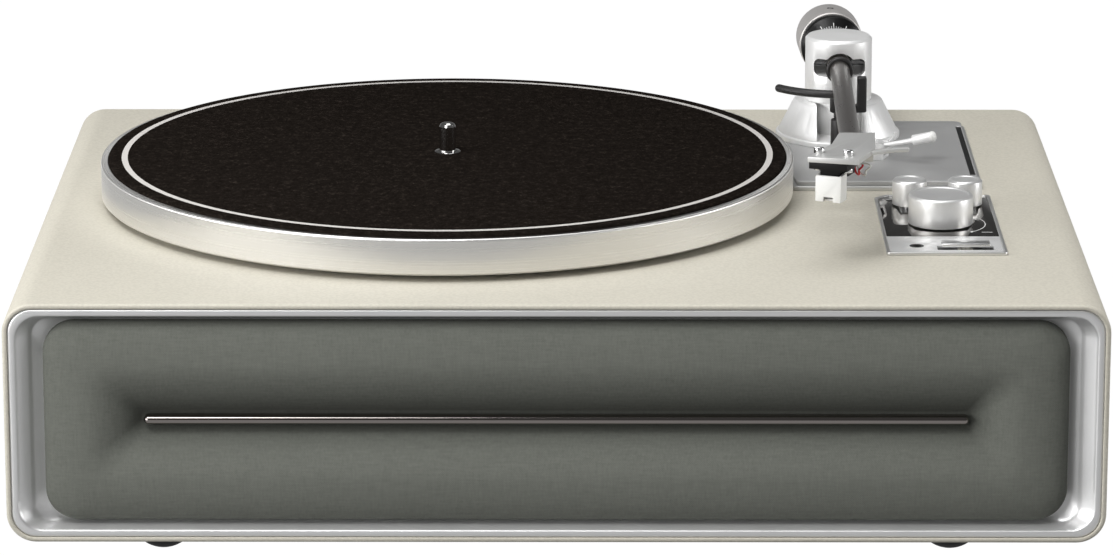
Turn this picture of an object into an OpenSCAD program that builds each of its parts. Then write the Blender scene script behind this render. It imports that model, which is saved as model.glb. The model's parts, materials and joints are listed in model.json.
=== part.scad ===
// Table-top record player: leather-wrapped cabinet, front speaker panel, belt-driven platter, tonearm.
// Origin: middle of the footprint, on the surface the feet stand on. X to the right, Y to the back, Z up.

/* [Cabinet] */
// Width of the cabinet over the leather
cab_w = 446; // [430:1:560]
// Depth of the cabinet over the leather
cab_d = 352; // [340:1:440]
// Height of the cabinet over the leather, without the feet
cab_h = 100; // [88:1:130]
// Radius of the four long edges
corner_r = 12; // [10:0.5:12.5]
// Thickness of the leather wrap
leather_t = 1.2; // [0.8:0.1:1.6]
// Thickness of the cabinet boards
board_t = 12; // [12:0.5:15]
// Width of the leather that is turned over the front edge
front_return = 2.1; // [1.8:0.1:3]
// How far the rear panel sits inside the cabinet
rear_recess = 11; // [10:0.5:20]
// Thickness of the rear panel
rear_t = 3; // [2:0.5:4]

/* [Feet] */
// Height of the feet
foot_h = 10; // [8:0.5:16]
// Radius of the dome that the feet are turned to
foot_dome = 14; // [13:0.5:18]
// Radius of the flat pad under each foot
foot_pad_r = 4; // [3:0.5:5]
// Distance of the feet from the middle, sideways
foot_x = 161.5; // [120:0.5:180]
// Distance of the feet from the middle, front to back
foot_y = 147; // [110:0.5:150]

/* [Front frame and grille] */
// Width of the flat front lip of the frame
lip_w = 2.8; // [2:0.1:5]
// Slope of the frame's side walls, seen from the front
side_slope = 5.8; // [3:0.1:8]
// Slope of the frame's top and bottom walls, seen from the front
cap_slope = 1.6; // [1:0.1:4]
// Depth of the crease at the foot of the frame's side walls
crease_depth = 6.6; // [4:0.1:6.8]
// Depth of the frame's floor at the grille
floor_depth = 9; // [7:0.5:10]
// Overall depth of the front frame
frame_depth = 13; // [12:0.5:15]
// Gap between the frame's side walls and the grille
side_gap = 4.8; // [2:0.1:8]
// Gap between the frame's top and bottom walls and the grille
cap_gap = 1.6; // [1:0.1:3]
// Corner radius of the grille
grille_r = 13; // [8:0.5:16]
// Thickness of the grille cloth with its foam
cloth_t = 2; // [1.5:0.1:2.5]
// Depth of the crest of the grille cloth behind the front
crest_depth = 2; // [1:0.5:3]
// Depth of the bottom of the dished cloth behind the front
dish_depth = 9.5; // [7:0.5:12]
// Length of the chrome bar
bar_len = 334; // [200:1:345]
// Height of the chrome bar
bar_h = 3.8; // [3:0.1:5]
// How far the chrome bar stands out of the bottom of the dish
bar_out = 4.6; // [3:0.1:6]

/* [Speakers] */
// Distance of the speakers from the middle
spk_x = 125; // [80:1:150]
// Radius of the speaker's mounting flange
spk_r = 35; // [30:0.5:36]
// Radius of the speaker's opening
spk_hole_r = 30; // [26:0.5:31]
// Thickness of the baffle board
baffle_t = 9; // [6:0.5:12]

/* [Platter] */
// Radius of the platter
plat_r = 150; // [140:0.5:152]
// Platter centre, sideways
plat_x = -47.8; // [-60:0.1:-44]
// Platter centre, front to back
plat_y = 7.9; // [-5:0.1:12]
// Height of the platter's rim
plat_h = 15.4; // [12:0.1:20]
// Air gap between the cabinet and the platter
plat_gap = 2.9; // [2.5:0.1:6]
// Width of the bright lip around the mat
plat_lip = 3.2; // [2:0.1:6]
// Thickness of the mat
mat_t = 3; // [2:0.1:4]
// How far the mat stands above the platter's lip
mat_proud = 1.2; // [0.5:0.1:1.8]
// Radius of the spindle that takes the record's hole
spindle_r = 3.575; // [3.5:0.005:3.6]
// Radius of the shaft that turns in the bearing
shaft_big_r = 4; // [3.8:0.1:6]
// Height of the spindle above the mat
spindle_up = 12.9; // [8:0.1:16]
// Radius of the ring under the platter that the belt drives
drive_r = 62; // [50:1:75]
// Radius of the motor pulley
pulley_r = 6; // [4:0.5:9]
// Distance of the motor from the platter's centre
motor_dist = 95; // [85:1:105]

/* [Tonearm] */
// Pivot, sideways
piv_x = 126.4; // [122:0.1:134]
// Pivot, front to back
piv_y = 106.9; // [104:0.1:110]
// Height of the arm tube's axis above the cabinet
arm_up = 37.7; // [36:0.1:40]
// Radius of the arm tube
tube_r = 4.4; // [3.5:0.1:4.6]
// Wall of the arm tube
tube_wall = 1; // [0.6:0.1:1]
// Length of the tube in front of the pivot
tube_front = 173; // [150:1:180]
// Radius of the pivot housing
housing_r = 15; // [14.5:0.1:17]
// Height of the pivot housing
housing_h = 28.8; // [27:0.1:32]
// Radius of the round base under the cone
base_r = 28; // [27.5:0.5:30]
// Bottom radius of the cone
cone_r1 = 27; // [24:0.5:27]
// Top radius of the cone
cone_r2 = 20; // [18:0.5:22]
// How far the parked tube points up, in degrees
arm_rise = 1; // [0.5:0.1:1.5]
// How far the parked tube points in towards the platter, in degrees
arm_in = 1.1; // [0:0.1:2]
// How far the rear shaft points in to balance the headshell, in degrees
tail_in = 2; // [0:0.1:3]
// Offset angle of the headshell
offset_ang = 22.6; // [18:0.1:25]
// Radius of the counterweight
cw_r = 14.8; // [12:0.1:16]
// Length of the counterweight
cw_len = 21; // [16:0.5:24]
// Length of the tracking force dial
dial_len = 11.3; // [8:0.1:12]
// Distance of the dial from the pivot
dial_back = 25.4; // [22:0.1:28]

/* [Tonearm plate] */
// Left edge of the plate
plate_x0 = 101; // [96:0.5:104]
// Right edge of the plate
plate_x1 = 185.6; // [180:0.1:200]
// Front edge of the plate
plate_y0 = 15.6; // [10:0.5:20]
// Back edge of the plate
plate_y1 = 136; // [135.5:0.5:150]
// Thickness of each of the plate's two layers
plate_t = 2; // [1.5:0.1:2.5]
// Width of the lower layer that shows around the upper one
plate_step = 1.6; // [1.2:0.1:1.8]

/* [Controls] */
// Left edge of the control plate
ctl_x0 = 137.1; // [134:0.1:140]
// Right edge of the control plate
ctl_x1 = 187.5; // [184:0.1:200]
// Front edge of the control plate
ctl_y0 = -97; // [-100:0.5:-90]
// Back edge of the control plate
ctl_y1 = 3.4; // [2:0.1:6]
// Thickness of the control plate
ctl_t = 1.5; // [1:0.1:2]
// Line between the dark and the light part of the control plate
ctl_split = -69.5; // [-72:0.5:-66]
// Radius of the volume knob
vol_r = 13.7; // [11:0.1:15]
// Radius of the two tone knobs
tone_r = 7.4; // [6:0.1:9]
// Height of the volume knob
vol_h = 12.5; // [8:0.5:14]
// Height of the tone knobs
tone_h = 11; // [7:0.5:12]
// Radius of the knobs' shafts
stem_r = 3; // [2.5:0.1:3.2]
// Radius of the headphone socket's hole
jack_r = 1.8; // [1.75:0.05:1.9]
// Length of the speed rocker
rocker_l = 20.2; // [15:0.1:21]

/* [Clearances] */
// Radial clearance of a shaft that turns in its bore
run_fit = 0.05; // [0.02:0.01:0.08]
// Gap between parts that pass each other or are set loosely
gap = 0.3; // [0.2:0.05:0.4]

/* [Hidden] */

$fn = 64;
eps = 0.01;

// Cabinet levels and faces
top_z = foot_h + cab_h;
mid_z = foot_h + cab_h / 2;
front_y = -cab_d / 2;
back_y = cab_d / 2;
deck_z1 = top_z - leather_t;
deck_z0 = deck_z1 - board_t;
in_x = cab_w / 2 - leather_t - board_t;
in_z0 = foot_h + leather_t + board_t;
inner_h = deck_z0 - in_z0;
board_y0 = front_y + frame_depth;
board_y1 = back_y - leather_t;
rear_y1 = back_y - rear_recess;
rear_y0 = rear_y1 - rear_t;

// Front frame: how far each outline lies inside the cabinet's
lip_in = front_return + gap;
hole_in = lip_in + lip_w;
floor_w = cab_w - 2 * (hole_in + side_slope);
floor_h = cab_h - 2 * (hole_in + cap_slope);
hole_w = cab_w - 2 * hole_in;
hole_h = cab_h - 2 * hole_in;
floor_r = 8;
grille_w = floor_w - 2 * side_gap;
grille_h = floor_h - 2 * cap_gap;
ledge = 3;
plug_gap = 0.4;
pan_t = 3;
crest_w = 14;
flange_in = cloth_t + gap;
baffle_y0 = front_y + dish_depth + cloth_t + pan_t;
baffle_y1 = baffle_y0 + baffle_t;
bar_stud_r = 1.5;
bar_stud_x = bar_len / 2 - 20;

// Screws
screw_r = 1.75;
screw_head_r = 3.2;
screw_head_h = 1.6;
screw_len = 9;
foot_bite = 5;
foot_steps = 10;

// Platter levels
plat_z0 = top_z + plat_gap;
plat_z1 = plat_z0 + plat_h;
mat_z1 = plat_z1 + mat_proud;
mat_z0 = mat_z1 - mat_t;
mat_r = plat_r - plat_lip - gap / 2;
web_t = 5;
web_z0 = mat_z0 - web_t;
rim_t = 10;
ring_t = 5;
belt_z = web_z0 - 5;
belt_w = 5;
belt_t = 0.8;
bear_r = 9;
bear_z0 = 70;
spindle_z0 = bear_z0 + 3;
spindle_z1 = mat_z1 + spindle_up;
motor_ang = 135;
motor_x = plat_x + motor_dist * cos(motor_ang);
motor_y = plat_y + motor_dist * sin(motor_ang);
motor_r = 20;
motor_h = 28;
shaft_r = 1.5;

// Tonearm levels
arm_z = top_z + arm_up;
plate_z1 = top_z + 2 * plate_t;
base_z1 = plate_z1 + 2.5;
cone_h = 14.5;
cone_z1 = base_z1 + cone_h;
housing_z0 = cone_z1 + gap;
housing_z1 = housing_z0 + housing_h;
pillar_r = 8;
pillar_z0 = deck_z0 - 6;
yaw_r = 5;
axle_r = 1.5;
slot_r = 7;
lobe_w = 23;
lobe_h = 8;
lobe_r = 2.8;
notch_w = 20.6;
tube_in = tube_r - tube_wall;
tube_back = 7.5;
tail_start = 7.8;
tail_step = 18;
tail_r = 3.4;
tail_end = dial_back + dial_len + cw_len + 3;
plate_cut_r = plat_r + 0.8;
drop_gap = 1.4;
rest_gap = 1.1;
collar_y = 19.5;
neck_r = 3.4;
neck_in = 2.4;
ball_r = 5.4;
ball_y0 = 7;
ball_y1 = 11.6;

// Inlay in the tonearm plate
inlay_x = plate_x1 - 3.4;
inlay_y0 = 30;
inlay_y1 = plate_y1 - 12;
inlay_w = 2.4;

// Headshell and cartridge, measured from the middle of the headshell's front edge
shell_x = piv_x - 13.1;
shell_y = piv_y - 219.9;
shell_t = 2.2;
shell_z1 = arm_z + 8.5;
shell_z0 = shell_z1 - shell_t;
cart_x = -1.2;
cart_w = 16.6;
cart_y0 = -2.4;
cart_y1 = 14.6;
flange_t = 3.2;
cart_screw_x = 6.35;
cart_screw_y = 4.2;
nose_w = 8.2;
nut_t = 1.6;
cantilever_y = 8.2;
guard_wall = 1.2;
guard_y0 = -1.9;
guard_y1 = 5.2;
guard_h = 10.8;
guard_z0 = arm_z - 10.5;
guard_in = nose_w / 2 + gap;

// Arm lift and cue lever
lift_arc_r = 36;
lift_bar_r = 1.8;
lift_z = arm_z + lift_arc_r * tan(arm_rise) - tube_r - drop_gap - lift_bar_r;
lift_a0 = 1;
lift_a1 = 50;
lift_post_r = 1.6;
guide_r = 3.4;
rest_y0 = piv_y - 28;
rest_y1 = piv_y - 23;
rest_z = arm_z + 23 * tan(arm_rise) - tube_r - rest_gap;
lever_x = piv_x + 16;
lever_y = piv_y - 45;
lever_z = plate_z1 + 5;
lever_ang = -19.5;
skate_x = piv_x + 11.6;
skate_y = piv_y - 35.5;
skate_pin_r = 1.2;
lever_hub_r = 2.6;
lever_pin_r = 1;

// Controls
ctl_z1 = top_z + ctl_t;
ctl_rim = 1.5;
vol_x = 162.7;
vol_y = -47;
tone_y = -14;
bass_x = 151.5;
treble_x = 175.4;
bush_r = 4.4;
pot_r = 8;
pot_h = 9;
jack_x = 150.2;
jack_y = -85.5;
jack_len = 14;
rocker_x = 170.4;
rocker_y = -89;
rocker_w = 6;
rocker_t = 1.6;
rocker_stem = 4;
rocker_drop = 4;

// Amplifier board and its stand-offs
amp_x = 30;
amp_y = 90;
amp_w = 120;
amp_l = 80;
amp_t = 1.6;
stand_h = 8;
stand_in = 5;

// Rear connections
rca_x = [-120, -100];
rca_r = 4.15;
dc_x = 150;
pow_x = 180;
conn_z = 60;

// ---------- outlines and helpers ----------

// Rectangle with round corners, centred
module round_rect(w, h, r) {
    square([w - 2 * r, h], center = true);
    square([w, h - 2 * r], center = true);
    for (sx = [-1, 1], sy = [-1, 1])
        translate([sx * (w / 2 - r), sy * (h / 2 - r)]) circle(r);
}

// A flat outline drawn in X and Z, extruded from y0 to y1
module along_y(y0, y1) {
    translate([0, y1, 0]) rotate([90, 0, 0]) linear_extrude(y1 - y0) children();
}

// The cabinet's outline, moved inwards
module cab_outline(inset) {
    translate([0, mid_z]) round_rect(cab_w - 2 * inset, cab_h - 2 * inset, max(corner_r - inset, 0.4));
}

// A box given by its two corners
module block(a, b) {
    translate(a) cube(b - a);
}

// A cylinder along Z between two heights
module post(x, y, z0, z1, r) {
    translate([x, y, z0]) cylinder(h = z1 - z0, r = r);
}

// A cylinder along Y between two places
module rod_y(x, z, y0, y1, r) {
    translate([x, y0, z]) rotate([-90, 0, 0]) cylinder(h = y1 - y0, r = r);
}

// A round part with a small chamfer on its top edge
module turned(h, r, ch) {
    rotate_extrude() polygon([[0, 0], [r, 0], [r, h - ch], [r - ch, h], [0, h]]);
}

// ---------- cabinet ----------

module side_board(s) {
    intersection() {
        along_y(board_y0, board_y1) cab_outline(leather_t);
        block([s > 0 ? in_x : -cab_w, board_y0, 0], [s > 0 ? cab_w : -in_x, board_y1, top_z]);
    }
}

module left_board() {
    color("burlywood") side_board(-1);
}

module right_board() {
    color("burlywood") side_board(1);
}

module deck_board() {
    color("burlywood") difference() {
        block([-in_x, board_y0, deck_z0], [in_x, board_y1, deck_z1]);
        deck_holes(deck_z0 - 1, deck_z1 + 1);
    }
}

// Holes through the deck for the bearing, the motor shaft, the tonearm and the controls
module deck_holes(z0, z1) {
    post(plat_x, plat_y, z0, z1, bear_r + gap);
    post(motor_x, motor_y, z0, z1, shaft_r + 1.5);
    post(piv_x, piv_y, z0, z1, pillar_r + gap);
    post(vol_x, vol_y, z0, z1, bush_r + gap);
    post(bass_x, tone_y, z0, z1, bush_r + gap);
    post(treble_x, tone_y, z0, z1, bush_r + gap);
    post(jack_x, jack_y, z0, z1, 3 + gap);
    block([rocker_x - rocker_stem, rocker_y - rocker_stem / 2 - gap, z0],
        [rocker_x + rocker_stem, rocker_y + rocker_stem / 2 + gap, z1]);
}

module bottom_board() {
    color("burlywood") difference() {
        block([-in_x, board_y0, foot_h + leather_t], [in_x, board_y1, in_z0]);
        for (sx = [-1, 1], sy = [-1, 1])
            post(sx * foot_x, sy * foot_y, foot_h, in_z0 + 1, screw_r);
    }
}

module leather_wrap() {
    color("linen") difference() {
        union() {
            along_y(front_y, back_y) difference() {
                cab_outline(0);
                cab_outline(leather_t);
            }
            along_y(front_y, front_y + leather_t) difference() {
                cab_outline(0);
                cab_outline(front_return);
            }
            along_y(back_y - leather_t, back_y) difference() {
                cab_outline(0);
                cab_outline(leather_t + board_t);
            }
        }
        deck_holes(deck_z1 - 1, top_z + 1);
        for (sx = [-1, 1], sy = [-1, 1])
            post(sx * foot_x, sy * foot_y, foot_h - 1, in_z0, screw_r);
    }
}

module rear_panel() {
    color("dimgray") difference() {
        along_y(rear_y0, rear_y1) translate([0, mid_z]) square([2 * in_x, inner_h], center = true);
        for (x = rca_x) rod_y(x, conn_z, rear_y0 - 1, rear_y1 + 1, rca_r);
        rod_y(dc_x, conn_z, rear_y0 - 1, rear_y1 + 1, 4.5);
        block([pow_x - 6, rear_y0 - 1, conn_z - 9], [pow_x + 6, rear_y1 + 1, conn_z + 9]);
        rear_screw_places() rod_y(0, 0, rear_y0 - 1, rear_y1 + 1, screw_r);
    }
}

module rear_screw_places() {
    for (sx = [-1, 0, 1], sz = [-1, 1])
        translate([sx * (in_x - 12), 0, mid_z + sz * (cab_h / 2 - leather_t - board_t - 8)]) children();
}

// A domed foot with a blind hole for its screw
module foot() {
    a0 = asin(foot_pad_r / foot_dome);
    a1 = acos(max(cos(a0) - foot_h / foot_dome, 0));
    dome = [for (i = [0 : foot_steps]) let (a = a0 + (a1 - a0) * i / foot_steps)
        [foot_dome * sin(a), min(foot_dome * (cos(a0) - cos(a)), foot_h)]];
    difference() {
        rotate_extrude() polygon(concat([[0, 0]], dome, [[foot_dome * sin(a1), foot_h], [0, foot_h]]));
        translate([0, 0, foot_h - foot_bite - 0.5]) cylinder(h = foot_h, r = screw_r);
    }
}

module feet() {
    color("black") for (sx = [-1, 1], sy = [-1, 1])
        translate([sx * foot_x, sy * foot_y, 0]) foot();
}

// A screw whose head's underside is at the origin, its shank pointing up
module wood_screw(len = screw_len) {
    translate([0, 0, -screw_head_h]) cylinder(h = screw_head_h, r = screw_head_r);
    cylinder(h = len, r = screw_r - 0.05);
}

module cabinet_screws() {
    color("silver") {
        for (sx = [-1, 1], sy = [-1, 1])
            translate([sx * foot_x, sy * foot_y, in_z0]) rotate([180, 0, 0])
                wood_screw(in_z0 - foot_h + foot_bite);
        rear_screw_places()
            translate([0, rear_y1, 0]) rotate([90, 0, 0]) wood_screw();
        for (s = [-1, 1]) speaker_screw_places(s)
            translate([0, baffle_y1 + 2, 0]) rotate([90, 0, 0]) wood_screw();
    }
}

// ---------- front ----------

// The open space inside the frame: steep walls down to a crease, then a gentle fall to the grille
module frame_hole() {
    hull() {
        along_y(front_y - 1, front_y) translate([0, mid_z])
            round_rect(hole_w, hole_h, floor_r + 2, $fn = 32);
        frame_crease();
    }
    hull() {
        frame_crease();
        along_y(front_y + floor_depth - eps, front_y + floor_depth) translate([0, mid_z])
            round_rect(grille_w + 2 * gap, grille_h + 2 * gap, grille_r + gap, $fn = 32);
    }
}

module frame_crease() {
    along_y(front_y + crease_depth - eps, front_y + crease_depth) translate([0, mid_z])
        round_rect(floor_w, floor_h, floor_r, $fn = 32);
}

module front_bezel() {
    color("gainsboro") difference() {
        along_y(front_y + 0.2, board_y0) cab_outline(leather_t);
        along_y(front_y, front_y + leather_t) difference() {
            cab_outline(0);
            cab_outline(lip_in);
        }
        frame_hole();
        along_y(front_y, board_y0 + 1) translate([0, mid_z])
            round_rect(grille_w - 2 * ledge, grille_h - 2 * ledge, grille_r - ledge);
    }
}

// The dished space in front of the cloth, pushed back by t
module dish(t) {
    hull() {
        along_y(front_y + crest_depth + t - 3, front_y + crest_depth + t) translate([0, mid_z])
            round_rect(grille_w - crest_w, grille_h - crest_w, grille_r - crest_w / 2 + 2, $fn = 32);
        along_y(front_y + dish_depth + t - 0.2, front_y + dish_depth + t) translate([0, mid_z])
            square([bar_len + 2, bar_h + 2], center = true);
    }
}

module grille_outline(inset) {
    translate([0, mid_z])
        round_rect(grille_w - 2 * inset, grille_h - 2 * inset, grille_r - inset);
}

module grille_pan() {
    color("dimgray") difference() {
        union() {
            along_y(front_y + crest_depth + cloth_t, front_y + floor_depth) grille_outline(flange_in);
            along_y(front_y + floor_depth - eps, board_y0) grille_outline(ledge + plug_gap);
            along_y(board_y0 - eps, baffle_y0) translate([0, mid_z])
                square([grille_w - 2 * crest_w, inner_h - 2 * plug_gap], center = true);
        }
        dish(cloth_t);
        for (s = [-1, 1], k = [-1, 1])
            rod_y(s * spk_x, mid_z + k * 17, front_y, baffle_y0 + 1, 12);
        for (s = [-1, 1]) rod_y(s * bar_stud_x, mid_z, front_y, baffle_y0 + 1, bar_stud_r);
    }
}

module grille_cloth() {
    color("dimgray") difference() {
        union() {
            difference() {
                along_y(front_y + crest_depth, front_y + floor_depth) grille_outline(0);
                along_y(front_y + crest_depth + cloth_t, front_y + floor_depth + 1)
                    grille_outline(cloth_t);
            }
            intersection() {
                dish(cloth_t - gap / 3);
                along_y(front_y + crest_depth, baffle_y0) grille_outline(cloth_t);
            }
        }
        dish(0);
        for (s = [-1, 1]) rod_y(s * bar_stud_x, mid_z, front_y, baffle_y0, bar_stud_r + gap);
    }
}

// A bar with a half-round front and round ends, on two studs
module grille_bar() {
    crown_y = front_y + dish_depth - bar_out + bar_h / 2;
    half_l = (bar_len - bar_h) / 2;
    color("whitesmoke") {
        translate([-half_l, crown_y, mid_z]) rotate([0, 90, 0])
            cylinder(h = 2 * half_l, r = bar_h / 2);
        along_y(crown_y, front_y + dish_depth - gap) translate([0, mid_z])
            square([2 * half_l, bar_h], center = true);
        for (s = [-1, 1]) {
            translate([s * half_l, crown_y, mid_z]) sphere(bar_h / 2);
            rod_y(s * half_l, mid_z, crown_y, front_y + dish_depth - gap, bar_h / 2);
            rod_y(s * bar_stud_x, mid_z, crown_y, baffle_y0, bar_stud_r - 0.05);
        }
    }
}

module speaker_baffle() {
    color("peru") difference() {
        along_y(baffle_y0, baffle_y1) translate([0, mid_z]) square([2 * in_x, inner_h], center = true);
        for (s = [-1, 1]) rod_y(s * spk_x, mid_z, baffle_y0 - 1, baffle_y1 + 1, spk_hole_r);
        for (s = [-1, 1]) speaker_screw_places(s)
            rod_y(0, 0, baffle_y0 - 1, baffle_y1 + 1, screw_r);
    }
}

module speaker_screw_places(s) {
    for (a = [45 : 90 : 315])
        translate([s * spk_x + (spk_r - 2.2) * cos(a), 0, mid_z + (spk_r - 2.2) * sin(a)]) children();
}

module speaker_baskets() {
    color("dimgray") for (s = [-1, 1]) difference() {
        translate([s * spk_x, baffle_y1, mid_z]) rotate([-90, 0, 0]) rotate_extrude()
            polygon([[spk_r, 0], [spk_r, 2], [spk_hole_r - 1, 2], [20, 18], [20, 20], [9, 20], [9, 18],
                [17.5, 18], [spk_hole_r - 3, 0]]);
        speaker_screw_places(s) rod_y(0, 0, baffle_y0, baffle_y1 + 3, screw_r);
    }
}

module speaker_magnets() {
    color("dimgray") for (s = [-1, 1])
        difference() {
            rod_y(s * spk_x, mid_z, baffle_y1 + 20, baffle_y1 + 34, 22);
            rod_y(s * spk_x, mid_z, baffle_y1 + 19, baffle_y1 + 31, 9);
        }
}

module speaker_cones() {
    color("black") for (s = [-1, 1])
        translate([s * spk_x, baffle_y1, mid_z]) rotate([-90, 0, 0]) rotate_extrude()
            polygon([[spk_hole_r - 3.5, 0], [spk_hole_r - 5, -1.5], [spk_hole_r - 7, -1], [9, 14],
                [0, 11], [0, 12], [8, 15.2], [8, 24], [8.6, 24], [8.6, 15.2], [spk_hole_r - 6, 0.5]]);
}

// ---------- inside ----------

module amp_board() {
    amp_z0 = in_z0 + stand_h;
    amp_z1 = amp_z0 + amp_t;
    color("darkgreen") {
        difference() {
            block([amp_x - amp_w / 2, amp_y - amp_l / 2, amp_z0],
                [amp_x + amp_w / 2, amp_y + amp_l / 2, amp_z1]);
            stand_places() post(0, 0, in_z0, amp_z1 + 1, 1.6);
        }
        stand_places() post(0, 0, in_z0, amp_z1 + 1.4, 1.5);
        for (k = [0 : 3])
            post(amp_x - 45 + k * 14, amp_y + 24, amp_z1, amp_z1 + 10.4, 5);
        block([amp_x + 10, amp_y - 30, amp_z1], [amp_x + 50, amp_y - 6, amp_z1 + 12.4]);
        for (k = [0 : 4])
            block([amp_x - 50 + k * 6, amp_y - 32, amp_z1], [amp_x - 48 + k * 6, amp_y + 4, amp_z1 + 6.4]);
    }
}

module stand_places() {
    for (sx = [-1, 1], sy = [-1, 1])
        translate([amp_x + sx * (amp_w / 2 - stand_in), amp_y + sy * (amp_l / 2 - stand_in), 0]) children();
}

module motor() {
    color("silver") difference() {
        post(motor_x, motor_y, deck_z0 - motor_h, deck_z0, motor_r);
        post(motor_x, motor_y, deck_z0 - motor_h + 2, deck_z0 + 1, shaft_r + run_fit);
    }
}

module motor_pulley() {
    color("goldenrod") translate([motor_x, motor_y, 0]) {
        translate([0, 0, deck_z0 - motor_h + 3])
            cylinder(h = belt_z - belt_w / 2 - 1 - (deck_z0 - motor_h + 3), r = shaft_r);
        translate([0, 0, belt_z - belt_w / 2 - 1]) rotate_extrude()
            polygon([[0, 0], [pulley_r + 1.2, 0], [pulley_r + 1.2, 0.8], [pulley_r, 1],
                [pulley_r, belt_w + 1], [pulley_r + 1.2, belt_w + 1.2], [pulley_r + 1.2, belt_w + 2],
                [0, belt_w + 2]]);
    }
}

module bearing_housing() {
    color("goldenrod") difference() {
        union() {
            post(plat_x, plat_y, bear_z0, top_z + 1.5, bear_r);
            post(plat_x, plat_y, deck_z0 - 4, deck_z0, bear_r + 9);
        }
        post(plat_x, plat_y, spindle_z0 - 0.3, top_z + 2, shaft_big_r + run_fit);
    }
}

// The belt's outline: a ring pulled round the drive ring and the pulley
module belt_outline(grow) {
    hull() {
        circle(drive_r + gap + grow, $fn = 90);
        translate([motor_dist * cos(motor_ang), motor_dist * sin(motor_ang)])
            circle(pulley_r + gap + grow, $fn = 24);
    }
}

module drive_belt() {
    color("black") translate([plat_x, plat_y, belt_z - belt_w / 2 + 0.4])
        linear_extrude(belt_w - 0.8) difference() {
            belt_outline(belt_t);
            belt_outline(0);
        }
}

// ---------- platter ----------

module platter() {
    color("silver") translate([plat_x, plat_y, 0]) rotate_extrude($fn = 128)
        polygon([[shaft_big_r + 0.02, web_z0 - 5], [14, web_z0 - 5], [14, web_z0], [drive_r - ring_t, web_z0],
            [drive_r - ring_t, belt_z - 4], [drive_r, belt_z - 4], [drive_r, web_z0],
            [plat_r - rim_t, web_z0], [plat_r - rim_t + 2, plat_z0], [plat_r - 0.8, plat_z0],
            [plat_r, plat_z0 + 0.8], [plat_r, plat_z1 - 0.6], [plat_r - 0.6, plat_z1],
            [plat_r - plat_lip + 0.3, plat_z1], [plat_r - plat_lip, plat_z1 - 0.3],
            [plat_r - plat_lip, mat_z0], [shaft_big_r + 0.02, mat_z0]]);
}

module platter_mat() {
    color("dimgray") translate([plat_x, plat_y, 0]) rotate_extrude($fn = 128)
        polygon([[shaft_big_r + gap, mat_z0], [mat_r, mat_z0], [mat_r, mat_z1 - 0.6],
            [mat_r - 0.6, mat_z1], [shaft_big_r + gap, mat_z1]]);
}

module spindle() {
    color("whitesmoke") translate([plat_x, plat_y, 0]) rotate_extrude()
        polygon([[0, spindle_z0], [shaft_big_r - 0.6, spindle_z0], [shaft_big_r, spindle_z0 + 0.8],
            [shaft_big_r, mat_z1 + 0.2], [spindle_r, mat_z1 + 0.2], [spindle_r, spindle_z1 - 1.6],
            [spindle_r - 0.6, spindle_z1 - 0.5], [spindle_r - 1.5, spindle_z1], [0, spindle_z1]]);
}

// ---------- tonearm plate and base ----------

module plate_outline(inset, r) {
    difference() {
        translate([(plate_x0 + plate_x1) / 2, (plate_y0 + plate_y1) / 2])
            round_rect(plate_x1 - plate_x0 - 2 * inset, plate_y1 - plate_y0 - 2 * inset, r);
        translate([plat_x, plat_y]) circle(plate_cut_r + inset, $fn = 128);
        translate([piv_x, piv_y]) circle(pillar_r + gap);
    }
}

module arm_plate_lower() {
    color("silver") translate([0, 0, top_z]) linear_extrude(plate_t) plate_outline(0, 5);
}

module arm_plate_upper() {
    color("silver") translate([0, 0, top_z + plate_t]) linear_extrude(plate_t) difference() {
        plate_outline(plate_step, 4);
        translate([inlay_x - inlay_w / 2, inlay_y0]) square([inlay_w, inlay_y1 - inlay_y0]);
    }
}

module plate_slot() {
    color("black") block([inlay_x - inlay_w / 2, inlay_y0, top_z + plate_t],
        [inlay_x + inlay_w / 2, inlay_y1, plate_z1 - 0.5]);
}

module arm_flange() {
    color("silver") translate([piv_x, piv_y, plate_z1]) rotate_extrude()
        polygon([[pillar_r + gap, 0], [base_r, 0], [base_r, 2], [base_r - 0.5, 2.5], [pillar_r + gap, 2.5]]);
}

module arm_cone() {
    color("silver") difference() {
        translate([piv_x, piv_y, base_z1]) rotate_extrude()
            polygon([[pillar_r + gap, 0], [cone_r1, 0], [cone_r2, cone_h - 0.6],
                [cone_r2 - 0.6, cone_h], [pillar_r + gap, cone_h]]);
        difference() {
            block([piv_x - notch_w / 2, piv_y - 40, base_z1 - 1], [piv_x + notch_w / 2, piv_y, cone_z1 + 1]);
            post(piv_x, piv_y, base_z1 - 2, cone_z1 + 2, 12.5);
        }
    }
}

module arm_pillar() {
    color("gray") difference() {
        union() {
            post(piv_x, piv_y, pillar_z0, cone_z1, pillar_r);
            post(piv_x, piv_y, pillar_z0, deck_z0, pillar_r + 6);
        }
        post(piv_x, piv_y, pillar_z0 + 3, cone_z1 + 1, yaw_r + run_fit);
    }
}

// Cradle that the arm tube lies over when it is parked, with the sleeve of the lift post
module armrest() {
    color("black") {
        block([piv_x - 4.8, rest_y0, base_z1 + 14], [piv_x + 11.4, rest_y1, base_z1 + 17]);
        block([piv_x - 4.8, rest_y0, base_z1 + 14], [piv_x - 2.4, rest_y1, base_z1 + 20.5]);
        block([piv_x + 7.2, rest_y0, base_z1 + 14], [piv_x + 11.4, rest_y1, arm_z - 1.2]);
        block([piv_x - 3.4, rest_y0, base_z1 + 14], [piv_x + 3.2, rest_y1, rest_z]);
        block([piv_x - 3, rest_y0 + 0.4, base_z1], [piv_x + 4, rest_y1, base_z1 + 15]);
        difference() {
            post(piv_x - 1.5, piv_y - lift_arc_r, plate_z1, arm_z - 18, guide_r);
            post(piv_x - 1.5, piv_y - lift_arc_r, plate_z1 + 1, arm_z, lift_post_r + run_fit);
        }
    }
}

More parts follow.
